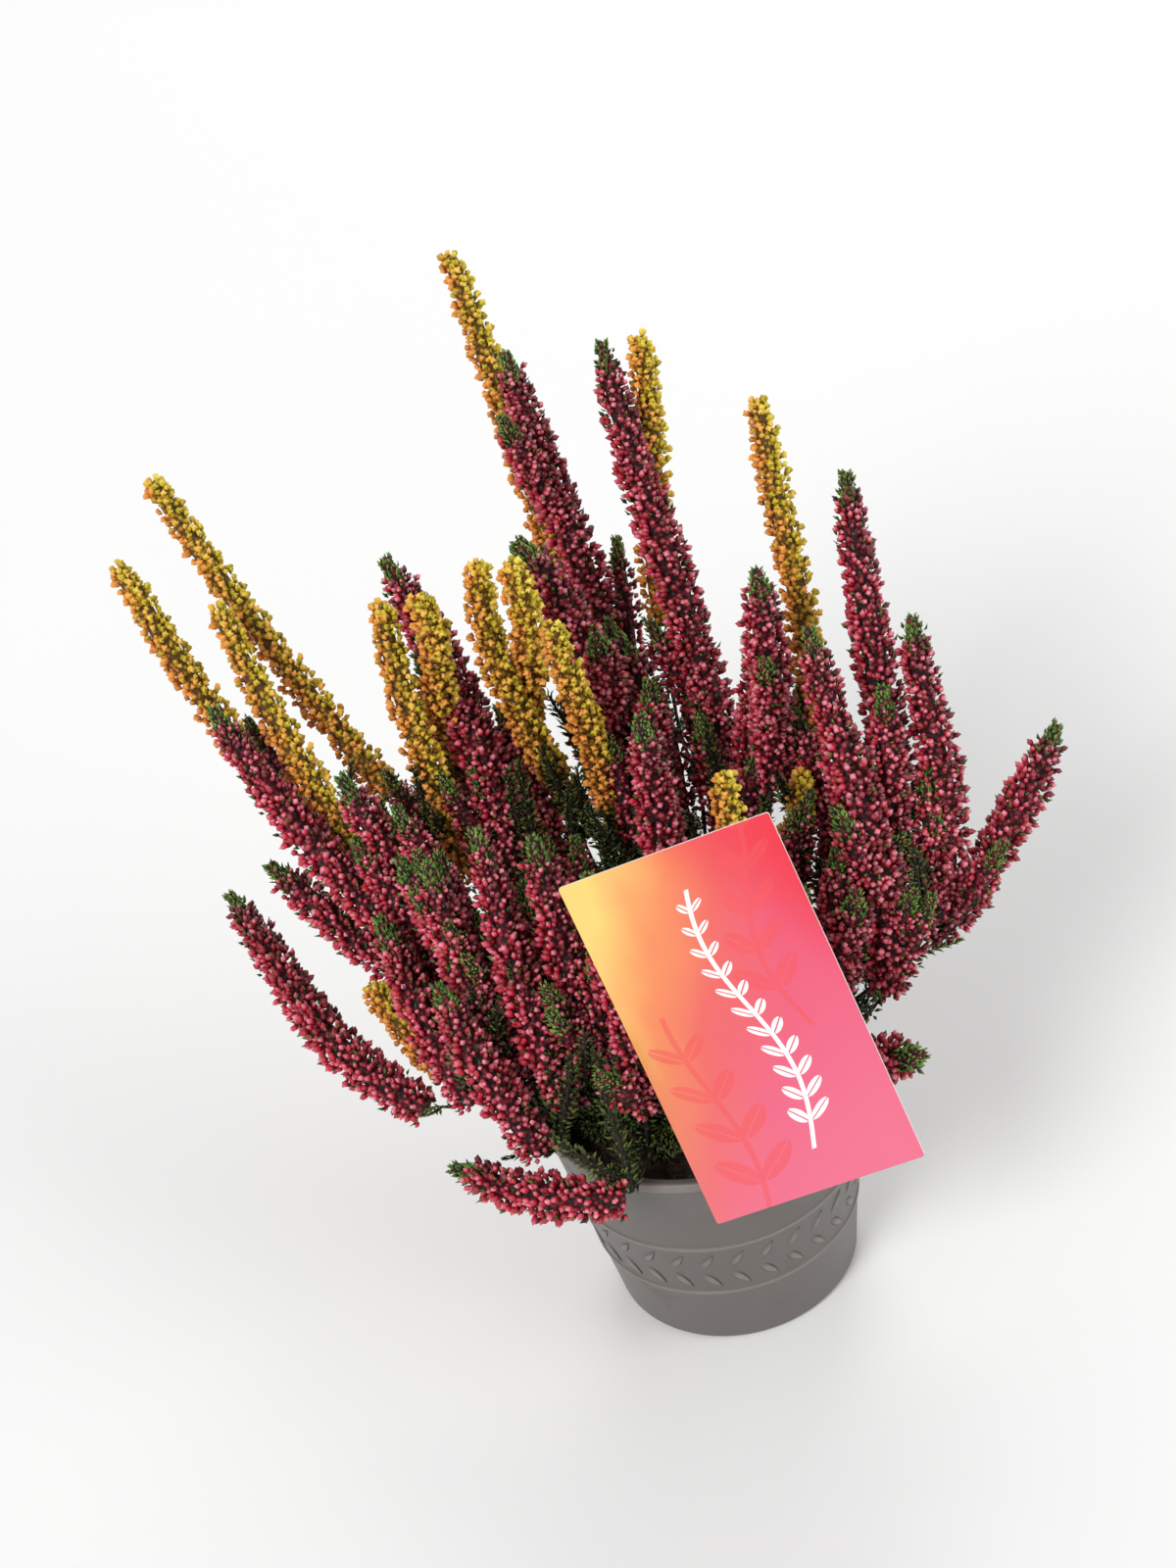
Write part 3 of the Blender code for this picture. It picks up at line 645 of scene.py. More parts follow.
def makeCard():
    width, length, thick = cardSize
    corner = card["corner"]
    rows = []  # height and half width, with quarter rounds at the corners
    for turn in np.linspace(0, pi / 2, 5):
        low = -length / 2 + corner * (1 - cos(turn))
        rows.append((low, width / 2 - corner * (1 - sin(turn))))
    straight = np.linspace(-length / 2 + corner, length / 2 - corner, card["rows"])[1:-1]
    rows += [(height, width / 2) for height in straight]
    rows += [(-height, half) for height, half in reversed(rows[:5])]
    vertices = []
    places = []
    for height, half in rows:
        bow = card["bow"] * (2 * height / length) ** 2
        for share in np.linspace(-1, 1, card["columns"] + 1):
            local = np.array((share * half, height, thick / 2 + bow))
            vertices.append(cardMiddle + local @ cardWays)
            places.append((share * half / width + 0.5, height / length + 0.5))
    across = card["columns"] + 1
    lows = [low for low in range(len(vertices) - across) if (low + 1) % across]
    faces = [(low, low + 1, low + across + 1, low + across) for low in lows]
    mesh = meshOf("card", vertices, faces)
    layer = mesh.uv_layers.new(name="UVMap")
    for loop in mesh.loops:
        layer.data[loop.index].uv = places[loop.vertex_index]
    piece = objectOf("label_card_print", mesh)
    mesh.materials.append(finish("cardPrint", cardPrint, Coat_Weight=0.3, Coat_Roughness=0.2))
    paper = cloudy((238, 234, 230), (248, 246, 243), 700.0, 3.0, 0.4, 0.1)
    mesh.materials.append(finish("cardBack", paper))
    modify(piece, "SOLIDIFY", thickness=thick, offset=-1.0, material_offset=1, material_offset_rim=1)
    modify(piece, "BEVEL", width=card["edgeRounding"], segments=2, limit_method="ANGLE")
    standFor(baked(piece), "label_card")


def makeStake():
    piece = objectOf("label_stake_strip", merged("label_stake"))
    sharp = radians(40)
    modify(piece, "BEVEL", width=card["stakeRounding"], segments=3, limit_method="ANGLE", angle_limit=sharp)
    baked(piece)
    piece.data.shade_smooth()
    piece.data.set_sharp_from_angle(angle=sharp)
    ivory = cloudy((222, 218, 206), (236, 233, 224), 80.0, 3.0, 0.35, 0.12)
    dressed(piece, finish("stakePlastic", ivory, Subsurface_Weight=0.05))
    standFor(piece, "label_stake")


# Small forms that the growth repeats, each one unit long along +Z
def keep(mesh, name, numbers):
    layer = mesh.attributes.new(name, "FLOAT", "POINT")
    layer.data.foreach_set("value", np.array(numbers, dtype=np.float32))


def formOf(name, points, faces):
    # each point is its x, y and z, and its lift from the foot for the materials, which paint shade where it
    # is low and highlight where it is high
    def outward(form):
        bmesh.ops.recalc_face_normals(form, faces=form.faces)

    mesh = reshaped(meshOf(name, [point[:3] for point in points], faces), outward)
    keep(mesh, "lift", [point[3] for point in points])
    return objectOf(name, mesh)


def ringedForm(name, rings, around, twist, proud):
    # a closed form from a foot at the origin through rings of (height, radius) to its tip
    points = [(0, 0, 0, 0)]
    for row, (height, radius) in enumerate(rings):
        for k in range(around):
            turn = tau * (k + twist * row) / around
            raised = proud * ((k + row) % 2)
            out = radius * (1 + raised - proud / 2)
            place = (out * cos(turn), out * sin(turn), height + 0.25 * raised)
            # the raised points get more lift, so the materials paint the bumps paler and the hollows
            # darker: painted highlight and painted shade
            points.append((*place, height * (1 - proud) + raised))
    top = len(points)
    points.append((0, 0, 1, 1))
    faces = []
    for k in range(around):
        j = (k + 1) % around
        faces += [(0, 1 + j, 1 + k), (top - around + k, top - around + j, top)]
        for low in range(1, top - around, around):
            high = low + around
            faces += [(low + k, low + j, high + k), (low + j, high + j, high + k)]
    return formOf(name, points, faces)


upward = Vector((0, 0, 1))


def leafyForm(name, whorls, pair, length, width, opening):
    # a shoot with crossed whorls of keeled leaves that close over its end
    points = []
    faces = []
    for row in range(whorls):
        share = row / (whorls - 0.6)
        lean = opening * (1 - share) ** 0.6
        long, wide = length * (1 - 0.3 * share), width * (1 - 0.3 * share)
        for k in range(pair):
            turn = tau * k / pair + row * pi / pair + row * 0.12
            out = Vector((cos(turn), sin(turn), 0))
            way = out * sin(lean) + upward * cos(lean)
            outer = out * cos(lean) - upward * sin(lean)
            foot = upward * (share * (1 - length * 0.75)) + out * (0.25 * width)
            side = way.cross(outer).normalized() * (wide / 2)
            middle = foot + way * (long * 0.45) - outer * (wide * 0.34)
            a = len(points)
            points += [(*foot, 0.1), (*(middle - side), 0.5), (*(middle + side), 0.5)]
            points.append((*(foot + way * long), 1))
            faces += [(a, a + 1, a + 2), (a + 1, a + 3, a + 2), (a, a + 3, a + 1), (a, a + 2, a + 3)]
    return formOf(name, points, faces)


def makeForms():
    return {
        "leaf": leafyForm("leaf", 1, 1, 1.0, 0.4, 0.0),
        "sprig": leafyForm("sprig", 12, 2, 0.2, 0.1, 0.8),
        "bud": ringedForm("bud", ((0.26, 0.24), (0.62, 0.31)), 4, 0.5, 0.0),
        "knob": ringedForm("knob", ((0.42, 0.33), (0.76, 0.28)), 6, 0.2, 0.52),
    }


# Growth: layers of small forms set in a spiral round one or more lines, leaning towards their ends
growth = {
    "goldenTurn": pi * (3 - sqrt(5)),
    "turnSpread": 0.4, "seatSpread": (0.62, 1.2), "lengthSpread": (0.72, 1.18), "leanCurve": 1.6,
    "sunWay": Vector((-0.93, 0.1, -0.15)).normalized(),
    "stations": 30, "branchStations": 7, "branchBend": 0.3,
    "lump": 0.16, "lumpScale": 110,
    "girthWithin": 88,  # per cent of a solid's corners
}


def toned(bench, points, facing, seed):
    # the points keep a random tone and how far they face the sun
    points = bench.store(points, "tone", bench.random(0.0, 1.0, seed))
    return bench.store(points, "sunny", sunShare(bench, facing))


def sunShare(bench, facing):
    return bench.vectors("DOT_PRODUCT", facing, growth["sunWay"], out="Value") * 0.5 + 0.5


def spiralLayer(bench, curve, name, seed):
    def ask(word):
        return bench.input(f"{name} {word}")

    values = {"Curve": curve, "Length": ask("spacing")}
    spots = bench.add("GeometryNodeCurveToPoints", values, "Points", mode="LENGTH")
    way = spots.other("Tangent")
    across = spots.other("Normal")
    deep = bench.vectors("CROSS_PRODUCT", way, across)
    stir = bench.random(-growth["turnSpread"], growth["turnSpread"], seed)
    turn = bench.add("GeometryNodeInputIndex") * growth["goldenTurn"] + stir
    out = bench.summed(bench.scaled(across, turn.of("COSINE")), bench.scaled(deep, turn.of("SINE")))
    girth, along, left = map(bench.kept, ("girth", "along", "left"))
    leanLow = ask("lean at foot")
    lean = leanLow + (ask("lean at end") - leanLow) * along ** growth["leanCurve"]
    lean = lean + bench.random(-1.0, 1.0, seed + 1) * ask("lean spread")
    sideways = bench.random(-1.0, 1.0, seed + 7) * ask("sideways")
    sideways = bench.scaled(bench.vectors("CROSS_PRODUCT", way, out), sideways)
    aim = bench.summed(bench.scaled(out, lean.of("COSINE")), bench.scaled(way, lean.of("SINE")), sideways)
    seat = girth * ask("seat") * bench.random(*growth["seatSpread"], seed + 5)
    stray = bench.random(-1.0, 1.0, seed + 6) * ask("stray")
    shift = bench.summed(bench.scaled(out, seat), bench.scaled(way, stray))
    points = bench.moved(toned(bench, spots, out, seed + 2), Offset=shift)
    stand = bench.rolled(bench.aimed(aim), bench.random(0.0, tau, seed + 3))
    length = girth * ask("length by girth") + ask("length")
    length = length * bench.random(*growth["lengthSpread"], seed + 4)
    width = length * ask("width")
    chosen = left.of("LESS_THAN", ask("from")) * left.of("GREATER_THAN", ask("to"))
    form = bench.form(f"{name} form")
    placed = bench.copies(points, form, stand, bench.xyz(width, width, length), chosen)
    return bench.coated(placed, f"{name} finish")


def growthTree(name, layers):
    bench = geometryBench(name)
    curve = bench.add("GeometryNodeMeshToCurve", {"Mesh": bench.input("Line", "Geometry")})
    parts = [spiralLayer(bench, curve, layer, 10 * k) for k, layer in enumerate(layers)]
    radius = bench.kept("girth") * bench.input("Core share")
    thick = bench.add("GeometryNodeSetCurveRadius", {"Curve": curve, "Radius": radius})
    ring = {"Resolution": bench.input("Core sides", "Int")}
    tube = {"Profile Curve": bench.add("GeometryNodeCurvePrimitiveCircle", ring), "Fill Caps": True}
    tube.update({"Curve": thick, "Scale": bench.add("GeometryNodeInputRadius")})
    core = bench.add("GeometryNodeCurveToMesh", tube)
    core = bench.store(core, "sunny", sunShare(bench, bench.add("GeometryNodeInputNormal")))
    return bench.output(bench.together(parts + [bench.coated(core, "Core finish")]))


def growthLine(node):
    # a spike's middle line from foot to end and its girth, read from its solid
    points = np.unique(corners(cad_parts[node].data).round(6), axis=0)
    middle = points.mean(0)
    way = svd(points - middle, full_matrices=False)[2][0]
    run = (points - middle) @ way
    mouth = np.array((0, 0, peatHigh.z))
    ends = [norm(points[k] - mouth) for k in (run.argmin(), run.argmax())]
    run = run if ends[0] < ends[1] else -run
    shares = (run - run.min()) / (run.max() - run.min())
    fit = polynomial.polyfit(shares, points, 3)
    line = polynomial.polyval(np.linspace(0, 1, growth["stations"]), fit).T
    away = norm(points - polynomial.polyval(shares, fit).T, axis=1)
    return line, np.percentile(away, growth["girthWithin"])


def branchLine(start, way, bend, length):
    # a short side shoot that bends as it grows
    shares = np.linspace(0, 1, growth["branchStations"])[:, None]
    return start + length * (shares * way + growth["branchBend"] * shares ** 2 * bend)


# How far the growth keeps from the card and from the pot's rim
clearance = {
    "behindCard": 1 * mm, "besideCard": 1.5 * mm, "cardReach": 30 * mm,
    "insideRim": 4 * mm, "aboveRim": 0.2 * mm, "skin": 0.3 * mm,
}


def behindCard(places, margin):
    # places in the card's own frame, and which of them the card covers
    local = (places - cardMiddle) @ cardWays.T
    return local[:, 2], np.all(np.abs(local[:, :2]) < cardSize[:2] / 2 + margin, axis=1)


def clearOf(line, girth):
    # true where a side shoot keeps inside the model and clear of the card and the pot's rim
    depth, covered = behindCard(line, girth)
    behind = np.all(~covered | (depth < -girth - clearance["behindCard"]))
    mouth = np.hypot(line[:, 0], line[:, 1]) < potHigh.x - clearance["insideRim"] - girth
    above = np.all(mouth | (line[:, 2] > potHigh.z + girth))
    low, high = np.array(cadBox)
    return behind and above and np.all(line > low + girth) and np.all(line < high - girth)


def clearLines(draw, count, tries, girth):
    # up to count of the lines that draw() gives
    made = []
    for _ in range(tries):
        if len(made) == count:
            break
        line = draw()
        if line is not None and clearOf(line, girth):
            made.append(line)
    return made


def settle(mesh):
    # leaves and buds that would pass through the card or the pot's rim are pressed back against them
    skin = clearance["skin"]
    places = corners(mesh)
    depth, covered = behindCard(places, clearance["besideCard"])
    limit = -cardSize[2] / 2 - skin
    over = np.where(covered & (depth > limit) & (depth < clearance["cardReach"]), limit - depth, 0)
    places = places + over[:, None] * cardWays[2]
    reach = np.maximum(np.hypot(places[:, 0], places[:, 1]), 1e-6)
    rim = potHigh.x + skin
    mouth = potHigh.x - pot["lip"] - pot["wall"] - skin
    low = places[:, 2] < potHigh.z + clearance["aboveRim"]
    within = low & (reach > mouth) & (reach < rim)
    pressed = np.where(reach < (rim + mouth) / 2, mouth, rim)
    places[:, :2] *= np.where(within, pressed / reach, 1.0)[:, None]
    mesh.vertices.foreach_set("co", places.ravel())
    mesh.update()


def branches(line, girth, kind, rng):
    # side shoots that leave the lower part of a spike towards the middle of the plant
    def draw():
        station = int(rng.uniform(*kind["branchAt"]) * (len(line) - 1))
        start = line[station]
        way = line[station + 1] - start
        way /= norm(way)
        side = np.cross(way, np.array([rng.uniform(-1, 1) for _ in range(3)]))
        side /= norm(side) * (-1 if side[:2] @ start[:2] > 0 else 1)
        turn = rng.uniform(*kind["branchSpread"])
        heading = way * cos(turn) + side * sin(turn)
        branch = branchLine(start, heading, way, rng.uniform(*kind["branchLengths"]))
        return branch if start[2] > kind["branchAbove"] else None

    return clearLines(draw, kind["branches"], kind["branchTries"], girth)


def lineMesh(name, lines, profile):
    # polylines in one mesh, each point with its girth, its share of the way and the way left to the end
    vertices = []
    edges = []
    numbers = {"girth": [], "along": [], "left": []}
    for line, girth in lines:
        first = len(vertices)
        vertices += [tuple(place) for place in line]
        edges += [(first + k, first + k + 1) for k in range(len(line) - 1)]
        run = np.concatenate(([0], np.cumsum(norm(np.diff(line, axis=0), axis=1))))
        shares = run / run[-1]
        lumps = [1 + growth["lump"] * noise.noise(Vector(place) * growth["lumpScale"]) for place in line]
        numbers["girth"] += list(girth * np.interp(shares, *zip(*profile)) * lumps)
        numbers["along"] += list(shares)
        numbers["left"] += list(run[-1] - run)
    mesh = bpy.data.meshes.new(name)
    mesh.from_pydata(vertices, edges, [])
    for key in numbers:
        keep(mesh, key, numbers[key])
    return mesh


def nodesOf(word):
    return sorted(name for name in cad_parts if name.startswith(word))


def grow(name, lines, tree, kind, kit):
    values = {"Core share": kind["coreShare"], "Core sides": kind["coreSides"]}
    values["Core finish"] = kit[kind["coreLook"]]
    for layer, sizes in kind["layers"].items():
        for word, size in sizes.items():
            size = radians(size) if word.startswith("lean") else size
            values[f"{layer} {word}"] = kit.get(size, size)
    return grown(objectOf(name, lineMesh(name, lines, kind["profile"])), tree, values)


def growSpike(node, tree, kind, kit, rng):
    line, girth = growthLine(node)
    lines = [(line, girth)]
    lines += [(branch, girth * kind["branchGirth"]) for branch in branches(line, girth, kind, rng)]
    piece = grow(f"spike_{node}", lines, tree, kind, kit)
    settle(piece.data)
    standFor(piece, node)
    return len(piece.data.loop_triangles)


# Crimson spikes: closed buds with small leaves among them and a green leafy end; leans are in degrees
crimson = {
    "slot": "crimson_bud",
    "profile": ((0, 0.84), (0.15, 1.0), (0.6, 1.0), (0.88, 0.74), (1, 0.42)),
    "coreShare": 0.5, "coreSides": 7, "coreLook": "spikeCore",
    "branches": 1, "branchTries": 12, "branchAt": (0.02, 0.45), "branchAbove": 125 * mm,
    "branchSpread": (radians(20), radians(36)), "branchLengths": (24 * mm, 40 * mm), "branchGirth": 0.82,
    "layers": {
        "Bud": {
            "form": "bud", "finish": "crimsonBud", "from": 1.0, "to": 7.5 * mm,
            "spacing": 0.132 * mm, "stray": 1.0 * mm, "seat": 0.65,
            "length by girth": 0.24, "length": 1.6 * mm, "width": 1.0,
            "lean at foot": 20, "lean at end": 50, "lean spread": 36, "sideways": 0.6,
        },
        "Bract": {
            "form": "leaf", "finish": "spikeLeaf", "from": 1.0, "to": 4 * mm,
            "spacing": 0.62 * mm, "stray": 0.8 * mm, "seat": 0.74,
            "length by girth": 0.2, "length": 1.7 * mm, "width": 1.2,
            "lean at foot": 30, "lean at end": 55, "lean spread": 20, "sideways": 0.5,
        },
        "Tip": {
            "form": "leaf", "finish": "tipLeaf", "from": 11.5 * mm, "to": 0,
            "spacing": 0.14 * mm, "stray": 0.2 * mm, "seat": 0.42,
            "length by girth": 0.34, "length": 1.1 * mm, "width": 1.6,
            "lean at foot": 60, "lean at end": 68, "lean spread": 10, "sideways": 0.15,
        },
    },
}

# Gold shoots: stubby side shoots packed round a stem
gold = {
    "slot": "gold_leaf",
    "profile": ((0, 0.95), (0.15, 1.0), (0.6, 1.0), (0.9, 0.86), (1, 0.7)),
    "coreShare": 0.52, "coreSides": 7, "coreLook": "goldCore",
    "branches": 0, "branchTries": 0,
    "layers": {
        "Knob": {
            "form": "knob", "finish": "goldLeaf", "from": 1.0, "to": 2 * mm,
            "spacing": 0.24 * mm, "stray": 0.8 * mm, "seat": 0.58,
            "length by girth": 0.2, "length": 1.7 * mm, "width": 1.05,
            "lean at foot": 36, "lean at end": 56, "lean spread": 20, "sideways": 0.45,
        },
        "Tip": {
            "form": "knob", "finish": "goldTip", "from": 4 * mm, "to": 0,
            "spacing": 0.3 * mm, "stray": 0.2 * mm, "seat": 0.4,
            "length by girth": 0.2, "length": 2.2 * mm, "width": 1.0,
            "lean at foot": 60, "lean at end": 74, "lean spread": 10, "sideways": 0.15,
        },
    },
}

# Green leafy shoots low in the plant
leafy = {
    "profile": ((0, 0.7), (0.3, 1.0), (0.7, 0.9), (1, 0.4)),
    "coreShare": 0.22, "coreSides": 4, "coreLook": "stemBark",
    "layers": {
        "Leaf": {
            "form": "leaf", "finish": "plantLeaf", "from": 1.0, "to": 0,
            "spacing": 0.42 * mm, "stray": 0.6 * mm, "seat": 0.2,
            "length by girth": 0.55, "length": 1.9 * mm, "width": 0.9,
            "lean at foot": 28, "lean at end": 60, "lean spread": 18, "sideways": 0.4,
        },
    },
}


def budLook(bench):
    tone, lift, sunny, along = map(bench.attribute, ("tone", "lift", "sunny", "along"))
    blend = tone * 0.62 + sunny * 0.5 - bench.between(along, 0.65, 1.0) * 0.3
    reds = ((0.1, (86, 8, 22)), (0.4, (150, 12, 34)), (0.7, (190, 20, 50)), (1.0, (214, 48, 82)))
    # pale pink tips: partly the buds' own paler tips, partly a painted highlight
    tips = bench.between(lift, 0.46, 0.88) * (0.12 + bench.between(tone, 0.3, 1.0) * 0.85)
    color = bench.mixed(tips, bench.ramp(blend, reds), (238, 150, 164))
    # painted shade: each bud is darkened at its foot, where the buds crowd the stem
    color = bench.mixed(bench.between(lift, 0.42, 0.05) * 0.8, color, (50, 16, 18))
    return color, 0.42 + tone * 0.2


def leafLook(dark, middle, light, warm=None):
    # warm is the two colours and the strength of the flush on the sunny side
    def dress(bench):
        tone, lift, sunny = map(bench.attribute, ("tone", "lift", "sunny"))
        # the feet and hollows of each form are painted darker and its tips and bumps paler: partly the
        # leaves' own paler tips, partly painted shade and painted highlight; tone adds random variation
        shade = lift * 0.55 + tone * 0.45
        color = bench.ramp(shade, [(0.08, dark), (0.5, middle), (0.92, light)])
        if warm:
            flush = sunny * 0.95 + tone * 0.8 - bench.attribute("along") * 0.4
            blush = bench.ramp(shade, [(0.1, warm[0]), (0.85, warm[1])])
            color = bench.mixed(bench.between(flush, 0.12, 0.98) * warm[2], color, blush)
        return color, 0.5 + tone * 0.2

    return dress


def coreLook(dark, light, warm, cell):
    # the growth that shows between the outer forms: small rounded cells with dark seams, the seams painted
    # shade between the cells
    def dress(bench):
        values = {"Vector": bench.place(), "Scale": 1 / cell}
        away = bench.add("ShaderNodeTexVoronoi", values, "Distance")
        seam = bench.between(away, 0.25, 0.6)
        color = bench.mixed(seam, bench.mixed(bench.attribute("sunny"), light, warm), dark)
        bump = bench.bumped(1 - away, 1.0, cell / 2)
        return color, 0.6 + seam * 0.2, bump

    return dress


def makeLooks():
    green = ((20, 32, 12), (50, 70, 26), (130, 140, 56))
    fresh = ((36, 62, 22), (84, 122, 46), (150, 178, 84))
    lime = ((100, 88, 10), (206, 180, 28), (254, 238, 110))
    sunset = ((158, 58, 10), (252, 164, 72), 0.92)
    amber = ((206, 104, 18), (255, 200, 84), 0.8)
    dresses = {
        "crimsonBud": budLook,
        "spikeLeaf": leafLook(*green),
        "tipLeaf": leafLook(*fresh),
        "spikeCore": coreLook((34, 6, 12), (124, 18, 40), (140, 24, 46), 1.7 * mm),
        "goldLeaf": leafLook(*lime, warm=sunset),
        "goldTip": leafLook(*lime, warm=amber),
        "goldCore": coreLook((88, 62, 10), (190, 164, 34), (212, 122, 34), 1.8 * mm),
        "stemBark": coreLook((26, 22, 12), (58, 44, 26), (70, 52, 30), 0.9 * mm),
        "plantLeaf": leafLook(*green),
    }
    return {name: finish(name, dress) for name, dress in dresses.items()}


# The plants: woody stems read from their solids, with leaves and leafy sprigs all over them
plants = {
    "Leaf gap": 2.9 * mm, "Leaf length": 4.4 * mm, "Sprig gap": 9 * mm, "Sprig length": 18 * mm,
    "Bare below": 82 * mm, "mostPerArea": 6e5, "lengthSpread": (0.7, 1.15), "Bark": "stemBark",
    "Leaf form": "leaf", "Leaf finish": "plantLeaf", "Sprig form": "sprig", "Sprig finish": "plantLeaf",
}
undergrowth = {
    "flowering": {
        "count": 8, "tries": 96, "reach": (106 * mm, 172 * mm), "girth": 5.8 * mm,
        "lengths": (28 * mm, 50 * mm), "outward": 6,
    },
    "leafy": {
        "count": 26, "tries": 312, "reach": (84 * mm, 136 * mm), "girth": 4.6 * mm,
        "lengths": (20 * mm, 38 * mm), "outward": -1,
    },
    "creeping": {
        "count": 20, "tries": 20, "reach": (78 * mm, 94 * mm), "girth": 4.6 * mm,
        "ring": (36 * mm, 46 * mm), "ends": (83 * mm, 89 * mm), "shortest": 8 * mm,
    },
    "rise": 0.8, "wander": 0.4, "budSpacing": 0.32 * mm, "seed": 21,
}


def scatter(bench, ground, name, above, seed):
    spots = bench.strewn(ground, above, bench.input(f"{name} gap"), plants["mostPerArea"], seed)
    normal = spots.other("Normal")
    flat = bench.vectors("MULTIPLY", bench.add("GeometryNodeInputPosition"), (1, 1, 0))
    outward = bench.vectors("NORMALIZE", flat)
    wild = bench.random((-0.5, -0.5, -0.3), (0.5, 0.5, 0.5), seed + 1)
    aim = bench.summed(bench.scaled(normal, 0.75), bench.scaled(outward, 0.25), wild, (0, 0, 0.55))
    points = toned(bench, spots, normal, seed + 2)
    length = bench.input(f"{name} length") * bench.random(*plants["lengthSpread"], seed + 3)
    size = bench.xyz(length, length, length)
    placed = bench.copies(points, bench.form(f"{name} form"), bench.aimed(aim), size)
    return bench.coated(placed, f"{name} finish")


def plantTree():
    bench = geometryBench("plant")
    wood = bench.input("Wood", "Geometry")
    above = bench.higher("Bare below")
    parts = [scatter(bench, wood, "Leaf", above, 3), scatter(bench, wood, "Sprig", above, 8)]
    return bench.output(bench.together(parts + [bench.coated(wood, "Bark")]))


def lowShoots(wood, sort, rng):
    # shoots that start on the stems low in a plant, and rise or creep over the peat to the pot's rim
    points = corners(wood)
    low, high = sort["reach"]
    points = points[(points[:, 2] > low) & (points[:, 2] < high)]

    def rising():
        start = points[rng.randrange(len(points))]
        way = np.array((*(start[:2] * sort["outward"]), undergrowth["rise"]))
        way += undergrowth["wander"] * np.array([rng.uniform(-1, 1) for _ in range(3)])
        way /= norm(way)
        return branchLine(start, way, np.array(upward), rng.uniform(*sort["lengths"]))

    def creeping():
        start = points[rng.randrange(len(points))]
        turn = atan2(start[1], start[0]) + rng.uniform(-1, 1)
        ring = rng.uniform(*sort["ring"])
        end = np.array((ring * cos(turn), ring * sin(turn), rng.uniform(*sort["ends"])))
        length = norm(end - start)
        line = branchLine(start, (end - start) / length, np.array(upward), length)
        return line if length > sort["shortest"] else None

    draw = creeping if "ring" in sort else rising
    tries = sort["tries"] if len(points) else 0
    found = clearLines(draw, sort["count"], tries, sort["girth"])
    return [(line, sort["girth"]) for line in found]


def joined(pieces):
    with bpy.context.temp_override(active_object=pieces[0], selected_editable_objects=pieces):
        bpy.ops.object.join()
    return pieces[0]


def smoothed(form):
    for _ in range(3):
        axes = {"use_axis_x": True, "use_axis_y": True, "use_axis_z": True}
        bmesh.ops.smooth_vert(form, verts=form.verts, factor=0.5, **axes)


def makePlants(kit, spikeTree, leafyTree):
    tree = plantTree()
    rng = random.Random(undergrowth["seed"])
    buds = {**crimson["layers"]["Bud"], "spacing": undergrowth["budSpacing"]}
    sparse = {**crimson, "layers": {**crimson["layers"], "Bud": buds}}
    values = {word: kit.get(size, size) for word, size in plants.items()}
    total = 0
    for node in nodesOf("plant_"):
        wood = reshaped(merged(node), smoothed)
        wood.shade_smooth()
        sorts = ("flowering", "leafy", "creeping")
        flowering, green, creeping = (lowShoots(wood, undergrowth[sort], rng) for sort in sorts)
        piece = grown(objectOf(f"heather_{node}", wood), tree, values)
        shoots = [grow("undergrowth", flowering, spikeTree, sparse, kit)]
        shoots.append(grow("undergrowth", green + creeping, leafyTree, leafy, kit))
        piece = joined([piece] + shoots)
        settle(piece.data)
        standFor(piece, node)
        total += len(piece.data.loop_triangles)
    return total


def makeGrowth():
    forms = makeForms()
    kit = {**forms, **makeLooks()}
    rng = random.Random(7)
    trees = {}
    for word, kind in (("crimson", crimson), ("gold", gold)):
        trees[word] = growthTree(word, kind["layers"])
        total = sum(growSpike(node, trees[word], kind, kit, rng) for node in nodesOf(word))
        print("grown:", word, total, "triangles")
    leafyTree = growthTree("leafy", leafy["layers"])
    print("grown: plants", makePlants(kit, trees["crimson"], leafyTree), "triangles")
    for form in forms.values():
        bpy.data.objects.remove(form)


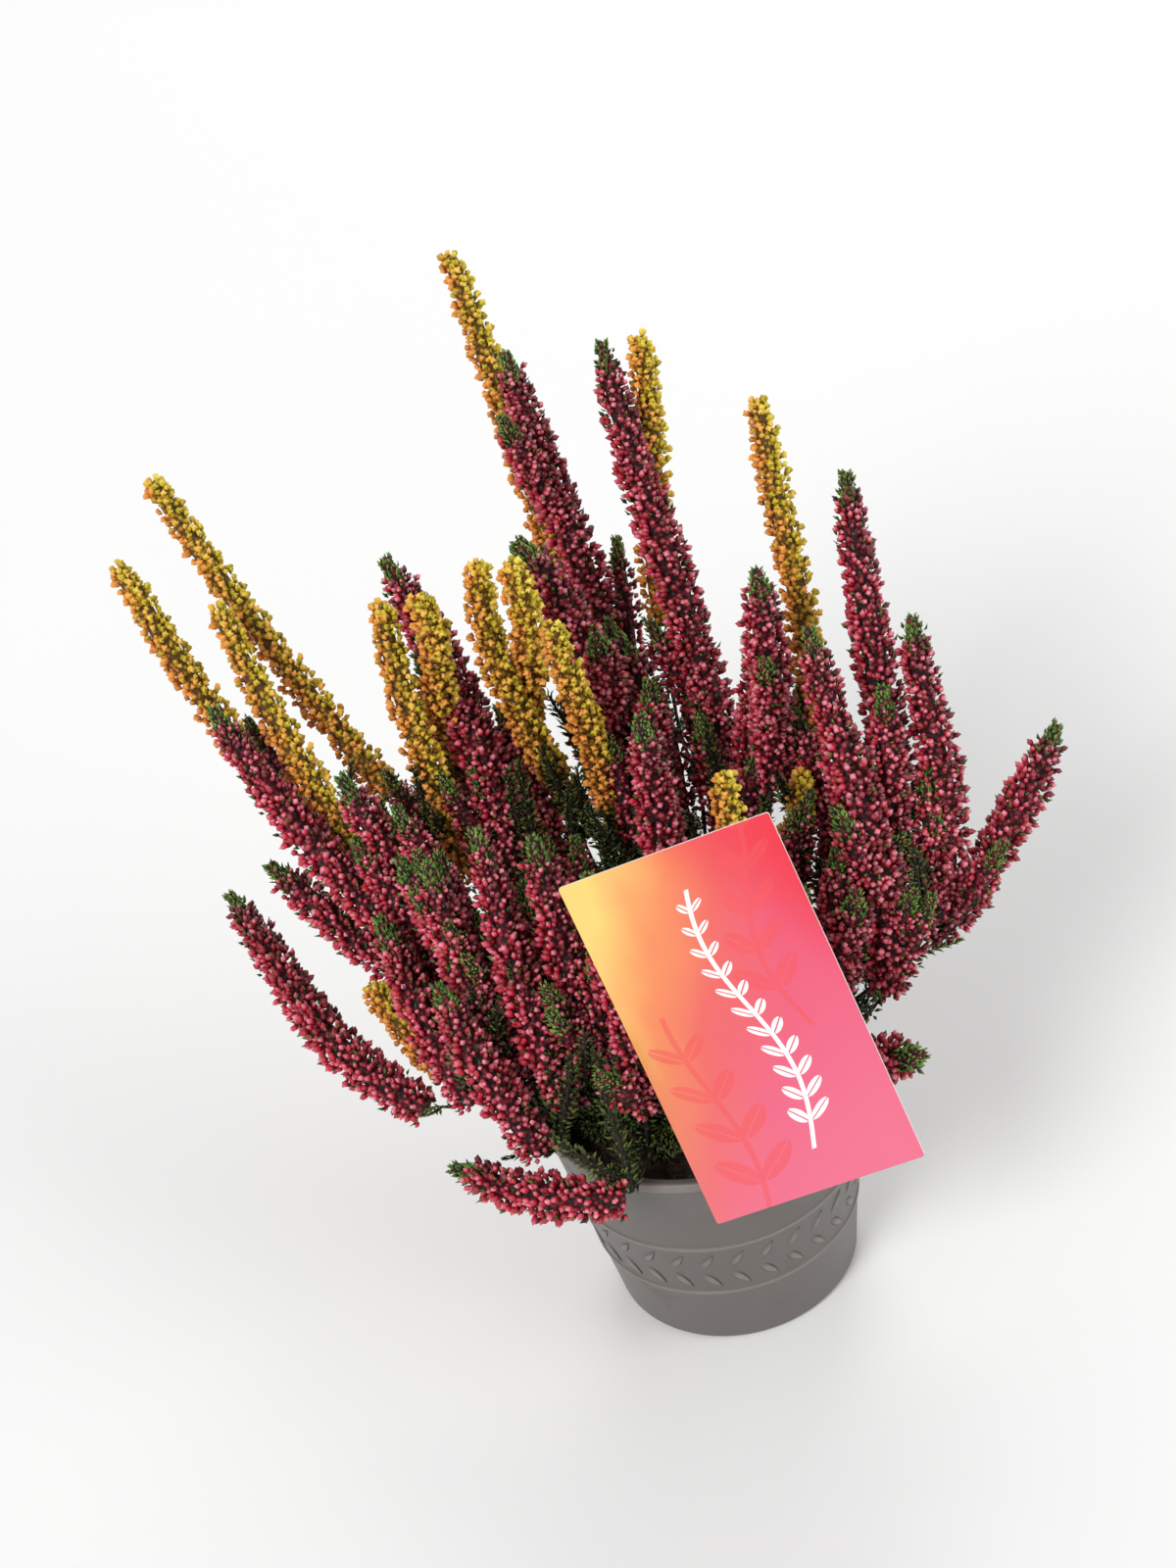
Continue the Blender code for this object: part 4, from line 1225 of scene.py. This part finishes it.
# Floor, light and camera
studio = {
    "floor": 24.0,
    "floorColors": ((238, 238, 236), (244, 244, 243)),
    "worldColor": (250, 251, 253),
    "overhead": 0.45, "horizon": 0.86,
    "lamps": (  # where from, the width of its soft shadow, strength
        ((-0.74, -0.99, 1.07), radians(24), 1.68),
        ((1.11, -0.54, 0.72), radians(36), 0.85),
        ((0.21, 1.06, 0.92), radians(32), 0.75),
    ),
}
view = {
    "eye": Vector((0, -0.88215, 0.91363)),
    "aim": Vector((-0.0128, 0.0416, 0.176)),
    "lens": 86.0, "roll": radians(13.7),
}


def makeStudio():
    half = studio["floor"] / 2
    square = [(-half, -half, 0), (half, -half, 0), (half, half, 0), (-half, half, 0)]
    floor = objectOf("studio_floor", meshOf("floor", square, [(0, 1, 2, 3)]))
    dressed(floor, finish("studioFloor", cloudy(*studio["floorColors"], 2.0, 2.0, 0.55, 0.1)))
    world = bpy.data.worlds.new("studio")
    world.use_nodes = True
    bench = Bench(world.node_tree)
    sky = world.node_tree.nodes["Background"]
    bench.plug(sky.inputs["Color"], studio["worldColor"])
    horizon = studio["horizon"]
    fade = bench.between(bench.split(bench.place("Generated"))[2], 0.12, 0.5)
    bench.plug(sky.inputs["Strength"], fade * (studio["overhead"] - horizon) + horizon)
    bpy.context.scene.world = world
    for way, soft, strength in studio["lamps"]:
        lamp = bpy.data.lights.new("softLight", "SUN")
        lamp.energy = strength
        lamp.angle = soft
        holder = objectOf("softLight", lamp)
        holder.location = way
        holder.rotation_euler = (-Vector(way)).to_track_quat("-Z", "Y").to_euler()


def makeCamera():
    camera = bpy.data.cameras.new("camera")
    camera.lens = view["lens"]
    holder = objectOf("camera", camera)
    facing = (view["aim"] - view["eye"]).to_track_quat("-Z", "Y").to_matrix().to_4x4()
    roll = Matrix.Rotation(-view["roll"], 4, "Z")
    holder.matrix_world = Matrix.Translation(view["eye"]) @ facing @ roll
    bpy.context.scene.camera = holder
    bpy.context.scene.view_settings.view_transform = "Standard"


makeStudio()
makeCamera()
print("made: studio and camera")
makeBand(makePot())
print("made: pot")
makePeat()
print("made: peat")
makeCard()
makeStake()
print("made: card and stake")
makeGrowth()
